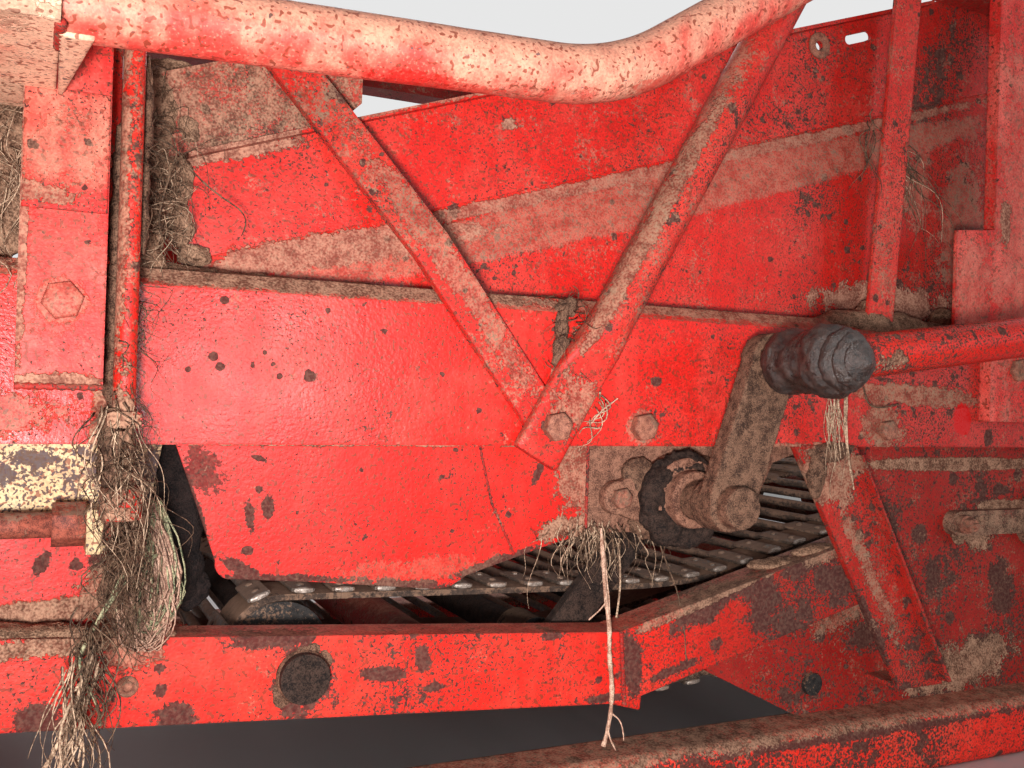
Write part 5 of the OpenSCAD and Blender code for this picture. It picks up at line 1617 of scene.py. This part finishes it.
TUFTS = (
    Tuft("roots_pipe_low", "root_straw", (188, -30, 196), (5, 4, 16), (-0.1, -0.1, -1.0), 30, (50, 120), 1.2,
         0.1, 0.07, 2, 0.15),
    Tuft("roots_pipe_dark", "root_dark", (195, -30, 226), (5, 6, 20), (-0.1, -0.1, -1.0), 56, (30, 80), 0.9,
         0.2, 0.12, 14, 0.18),
    Tuft("roots_pipe_mud", "root_dark", (208, -44, 366), (7, 7, 34), (0.1, -0.2, -0.9), 150, (14, 50), 0.7,
         0.3, 0.2, 15, 0.3),
    Tuft("roots_pipe_tail", "root_dark", (220, -26, 300), (6, 8, 24), (-0.1, -0.2, -0.9), 110, (20, 60), 0.7,
         0.3, 0.2, 25, 0.3),
    Tuft("roots_strap", "root_straw", (206, -46, 392), (6, 5, 14), (0.16, -0.15, -1.0), 26, (40, 90), 0.8,
         0.2, 0.08, 26, 0.14),
    Tuft("roots_pipe_mid", "root_dark", (216, -28, 480), (4, 6, 70), (0.1, -0.1, -0.9), 110, (12, 40), 0.5,
         0.3, 0.2, 4),
    Tuft("roots_corner", "root_dark", (236, 34, 590), (7, 10, 40), (0.4, 0.0, -0.6), 90, (14, 48), 0.6, 0.35,
         0.3, 5),
    Tuft("roots_corner_straw", "root_straw", (234, 28, 566), (7, 10, 34), (0.4, -0.1, -0.7), 44, (14, 40),
         0.5, 0.35, 0.3, 16),
    Tuft("roots_apex", "root_dark", (604, -4, 488), (9, 4, 20), (0.1, -0.2, -0.7), 30, (16, 48), 0.5, 0.2,
         0.35, 6),
    Tuft("roots_apex_low", "root_straw", (640, -3, 426), (6, 2, 12), (-0.2, -0.1, -1.0), 9, (24, 44), 1.0,
         0.2, 0.2, 7),
    Tuft("roots_bearing", "root_straw", (664, 46, 292), (34, 4, 4), (0.03, -0.05, -1.0), 44, (16, 66), 0.8,
         0.08, 0.1, 8, 0.22),
    Tuft("roots_bearing_dark", "root_dark", (676, 42, 292), (30, 3, 4), (0.06, -0.05, -1.0), 40, (16, 60),
         0.7, 0.08, 0.12, 18, 0.24),
    Tuft("roots_post", "root_dark", (1044, 20, 722), (5, 6, 14), (0.42, -0.12, -0.8), 18, (50, 110), 0.9, 0.3,
         0.1, 10, 0.2),
    Tuft("roots_post_left", "root_dark", (984, 6, 738), (4, 3, 8), (-0.12, -0.05, -1.0), 8, (40, 84), 0.8,
         0.2, 0.12, 19, 0.14),
    Tuft("roots_post_straw", "root_straw", (1042, 18, 712), (4, 5, 12), (0.42, -0.12, -0.8), 8, (40, 90), 0.8,
         0.3, 0.12, 11, 0.2),
    Tuft("roots_strut", "root_straw", (908, -30, 424), (5, 8, 8), (0.22, 0.16, -1.0), 26, (40, 90), 0.7, 0.05,
         0.035, 12, 0.06),
    Tuft("roots_front", "root_straw", (120, 20, 610), (9, 14, 40), (0.05, 0.0, -0.9), 70, (30, 80), 0.8, 0.3,
         0.2, 13, 0.3),
)


@dataclass(frozen=True)
class Stem:
    """One long root, straw or twig through given points in mm, with its radius at root and tip."""

    family: str
    points: tuple[Point, ...]
    root: float = 1.2
    tip: float = 0.5
    knots: float = 0.2

    def grid(self, seed: int) -> np.ndarray:
        """Sum of the points, each times its Bernstein weight, plus noise; the radius swells at knots.

        Each point counts three times, which pulls the curve closer to it.

        Args:
            seed: Picks the pattern.

        Returns:
            The grid.
        """
        t = np.linspace(0.0, 1.0, STEM_POINTS)[:, None]
        corners = np.repeat(np.array(self.points, float), 3, axis=0)
        n = len(corners) - 1
        k = np.arange(n + 1)
        ways = np.array([math.comb(n, int(i)) for i in k], float)
        path = (ways * t**k * (1.0 - t) ** (n - k)) @ corners
        bend = np.stack([lumps(path, 34.0, seed + 7 * axis, octaves=2) for axis in range(3)], axis=-1)
        path = path + bend * 2.2
        knotted = 1.0 + self.knots * lumps(path * 1.7, 9.0, seed, octaves=2)
        radius = (self.root + (self.tip - self.root) * t[:, 0]) * knotted
        return tube(path, section(7) * radius[:, None, None], SKEW)


STEMS = (
    Stem("root_pink", ((668, 36, 292), (664, 16, 237), (660, 0, 201), (661, -3, 172), (664, -4, 139),
         (661, -4, 114), (654, -4, 89)), 2.0, 2.3, 0.55),
    Stem("root_pink", ((672, 40, 290), (668, 22, 245), (664, 6, 212)), 1.1, 0.7),
    Stem("root_pink", ((660, 8, 224), (650, 4, 216), (638, 2, 209)), 0.9, 0.7),
    Stem("root_pink", ((661, -4, 118), (655, -6, 104), (668, -5, 84)), 1.4, 0.5, 0.5),
    Stem("root_pink", ((662, -4, 120), (672, -5, 112), (676, -5, 92)), 0.9, 0.4, 0.5),
    Stem("root_dark", ((740, 44, 290), (745, 40, 260), (751, 34, 246), (757, 22, 222), (750, 6, 201),
         (753, 3, 161)), 1.0, 0.6),
    Stem("root_straw", ((693, 40, 280), (686, 24, 247), (671, 6, 209)), 1.2, 1.0),
    Stem("root_straw", ((902, -52, 436), (918, -36, 404), (934, -24, 372), (954, -15, 332)), 1.5, 0.7, 0.3),
    Stem("root_straw", ((906, -50, 436), (922, -32, 402), (944, -20, 350)), 1.2, 0.6, 0.3),
    Stem("root_straw", ((898, -48, 434), (914, -32, 400), (930, -20, 366)), 1.3, 0.5, 0.3),
    Stem("root_straw", ((893, -46, 434), (906, -30, 404), (916, -16, 382)), 1.1, 0.6, 0.3),
    Stem("root_dark", ((962, -16, 442), (973, -16, 416), (1008, -12, 423), (1024, -10, 426)), 1.1, 0.8, 0.3),
    Stem("root_dark", ((225, 16, 622), (245, 14, 621), (256, 12, 599), (281, 20, 582), (312, 26, 570),
         (303, 28, 551)), 1.0, 0.5),
    Stem("root_dark", ((222, 12, 630), (240, 10, 634), (252, 10, 612), (244, 14, 596)), 0.9, 0.5),
    Stem("root_dark", ((228, 14, 611), (250, 12, 605), (237, 14, 568), (234, 16, 540), (266, 18, 522)), 1.2,
         0.6),
    Stem("root_straw", ((197, -30, 228), (191, -32, 205), (186, -32, 193), (176, -30, 161), (164, -28, 142),
         (156, -26, 126)), 2.1, 1.4, 0.3),
    Stem("root_straw", ((199, -28, 216), (192, -30, 186), (190, -30, 150), (186, -28, 128)), 1.2, 0.8, 0.3),
    Stem("twine_green", ((247, 2, 293), (215, -24, 278), (196, -30, 237), (179, -32, 220), (191, -32, 201),
         (203, -30, 183), (204, -28, 168)), 1.6, 1.0),
    Stem("twine_green", ((226, -16, 300), (205, -30, 262), (192, -32, 236)), 1.8, 0.9),
    Stem("root_pink", ((630, -4, 398), (640, -6, 412), (660, -5, 424)), 1.0, 0.6, 0.4),
)


@dataclass(frozen=True)
class Hank:
    """Twine caught in loops: finish, top of the loops in mm, greatest half width and drop, and how many."""

    name: str
    finish: str
    top: Point
    wide: float
    drop: float
    count: int
    thick: float
    seed: int

    def grids(self) -> np.ndarray:
        """Teardrops: x = w sin(pi t), z = -L (1 - |t|^1.6) for t from -1 to 1, with noise across.

        Returns:
            One grid a loop.
        """
        chance = np.random.default_rng(self.seed)
        t = np.linspace(-1.0, 1.0, LOOP_POINTS)
        wide = self.wide * chance.uniform(0.15, 1.0, (self.count, 1))
        drop = self.drop * chance.uniform(0.72, 1.0, (self.count, 1))
        lean = chance.normal(0.0, 0.05, (self.count, 1))
        fall = 1.0 - np.abs(t) ** 1.6
        out = chance.uniform(7.0, 14.0, (self.count, 1)) * np.sin(np.pi * np.clip(fall, 0.0, 1.0) * 0.9)
        shake = chance.normal(0.0, 1.0, (2, self.count, LOOP_POINTS)) + 3.0 * np.sin(
            chance.uniform(2.0, 6.0, (2, self.count, 1)) * t + chance.uniform(0.0, 6.3, (2, self.count, 1)))
        path = np.stack([self.top[0] + wide * np.sin(np.pi * t) + lean * drop * fall + shake[0],
                         self.top[1] - out + shake[1], self.top[2] - drop * fall], axis=-1)
        radius = self.thick * chance.uniform(0.6, 1.4, (self.count, 1)) * np.ones(LOOP_POINTS)
        return tube(path, section(3) * radius[..., None, None], SKEW)


HANKS = (
    Hank("twine_green_loops", "twine_green", (241, 10, 332), 20.0, 112.0, 20, 0.9, 31),
    Hank("twine_straw_loops", "twine_pink", (236, 10, 330), 22.0, 118.0, 70, 0.9, 32),
    Hank("twine_dark_loops", "root_dark", (237, 12, 330), 20.0, 110.0, 34, 0.8, 33),
)


@dataclass
class Roots:
    """Roots, haulm and twine caught on the frame."""

    bunches: tuple[Tuft | Hank, ...] = (*TUFTS, *HANKS)
    stems: tuple[Stem, ...] = STEMS

    def build(self, paints: Paints) -> None:
        """Builds each bunch as its own piece, and the long stems as one piece a finish."""
        for bunch in self.bunches:
            Shell().capped(bunch.grids()).piece(
                bunch.name, paints[bunch.finish], "frame", "soiled_steel", NO_CREASE)
        for family in sorted({stem.family for stem in self.stems}):
            shell = Shell()
            for seed, stem in enumerate(self.stems):
                if stem.family == family:
                    shell.capped(stem.grid(200 + seed))
            shell.piece("stems_" + family, paints[family], "frame", "soiled_steel", NO_CREASE)


@dataclass
class Studio:
    """Camera at the photograph's angle, soft lamps, pale floor and sky."""

    place: Point = (-0.570, -1.1532, 0.428)
    right: Point = (0.9015, -0.43174, 0.02999)
    up: Point = (-0.02979, 0.00722, 0.99953)
    lens: float = 35.16
    sensor: float = 36.0
    near_clip: float = 0.02
    floor_half: float = 6.0

    def camera(self) -> None:
        """Sets the camera from its place and axes."""
        data = bpy.data.cameras.new("camera")
        data.lens, data.sensor_width, data.clip_start = self.lens, self.sensor, self.near_clip
        camera = bpy.data.objects.new("camera", data)
        right, up = Vector(self.right).normalized(), Vector(self.up).normalized()
        back = right.cross(up).normalized()
        turn = Matrix((right, up, back)).transposed().to_4x4()
        camera.matrix_world = Matrix.Translation(Vector(self.place)) @ turn
        bpy.context.collection.objects.link(camera)
        bpy.context.scene.camera = camera

    def lamps(self) -> None:
        """A soft key just under the camera, a small one for its gloss, a broad fill and one from behind."""
        for name, place, aim, size, power, spread in (
            ("key", (-0.68, -1.27, 0.31), (-0.10, -0.2, 0.42), 0.15, 10.2, 125.0),
            ("sheen", (-0.17, -1.55, 0.46), (-0.4, -0.3, 0.44), 0.24, 11.0, 180.0),
            ("fill", (1.7, -1.9, 0.9), (0.2, 0.0, 0.4), 1.6, 9.0, 180.0),
            ("back", (0.4, 2.6, 2.0), (0.0, 0.2, 0.4), 2.0, 34.0, 180.0),
        ):
            data = bpy.data.lights.new(name, "AREA")
            data.size, data.energy, data.shape, data.spread = size, power, "DISK", math.radians(spread)
            lamp = bpy.data.objects.new(name, data)
            lamp.visible_diffuse = name != "sheen"
            turn = (Vector(aim) - Vector(place)).to_track_quat("-Z", "Y").to_matrix().to_4x4()
            lamp.matrix_world = Matrix.Translation(Vector(place)) @ turn
            bpy.context.collection.objects.link(lamp)

    def sky(self) -> None:
        """Even pale light; camera, glossy and transmitted rays see near white."""
        world = bpy.data.worlds.new("sky")
        bpy.context.scene.world = world
        world.use_nodes = True
        world.node_tree.nodes.clear()
        net = Net(world.node_tree)
        path = net.add("LightPath").outputs
        seen = net.most(path["Is Camera Ray"], net.most(path["Is Glossy Ray"], path["Is Transmission Ray"]))
        soft = net.add("Background", (0.98, 0.98, 1.0), 0.17).outputs[0]
        pale = net.add("Background", (0.80, 0.80, 0.80), 1.0).outputs[0]
        both = net.add("MixShader", seen, soft, pale).outputs[0]
        net.put(net.add("OutputWorld").inputs[0], both)

    def floor(self) -> None:
        """A pale floor that keeps the object's shadow; the low lamps pass it by and leave no bright spot."""
        mesh = bpy.data.meshes.new("floor")
        half = self.floor_half
        mesh.from_pydata([(-half, -half, 0), (half, -half, 0), (half, half, 0), (-half, half, 0)], [],
                         [(0, 1, 2, 3)])
        floor = bpy.data.objects.new("floor", mesh)
        material = bpy.data.materials.new("floor_pale")
        material.use_nodes = True
        shader = material.node_tree.nodes["Principled BSDF"]
        shader.inputs["Base Color"].default_value = (0.72, 0.71, 0.69, 1.0)
        shader.inputs["Roughness"].default_value = 0.8
        mesh.materials.append(material)
        bpy.context.collection.objects.link(floor)
        unlit = bpy.data.collections.new("floor_without_key")
        unlit.objects.link(floor)
        unlit.collection_objects[0].light_linking.link_state = "EXCLUDE"
        for name in ("key", "sheen"):
            bpy.data.objects[name].light_linking.receiver_collection = unlit

    def build(self) -> None:
        """Sets camera, light and floor, and the plain view."""
        self.camera()
        self.lamps()
        self.sky()
        self.floor()
        bpy.context.scene.view_settings.view_transform = "Standard"


def main() -> None:
    """Builds the studio, the finishes and every sub-assembly."""
    logging.basicConfig(level=logging.INFO, format="%(name)s: %(message)s")
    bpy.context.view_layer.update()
    Studio().build()
    paints = Paints()
    paints.dress_nodes()
    for part in (GuardRail, RoundBrace, ControlRod, SievingWeb, Agitator, Fittings, Soil, Roots):
        part().build(paints)


if __name__ == "__main__":
    main()
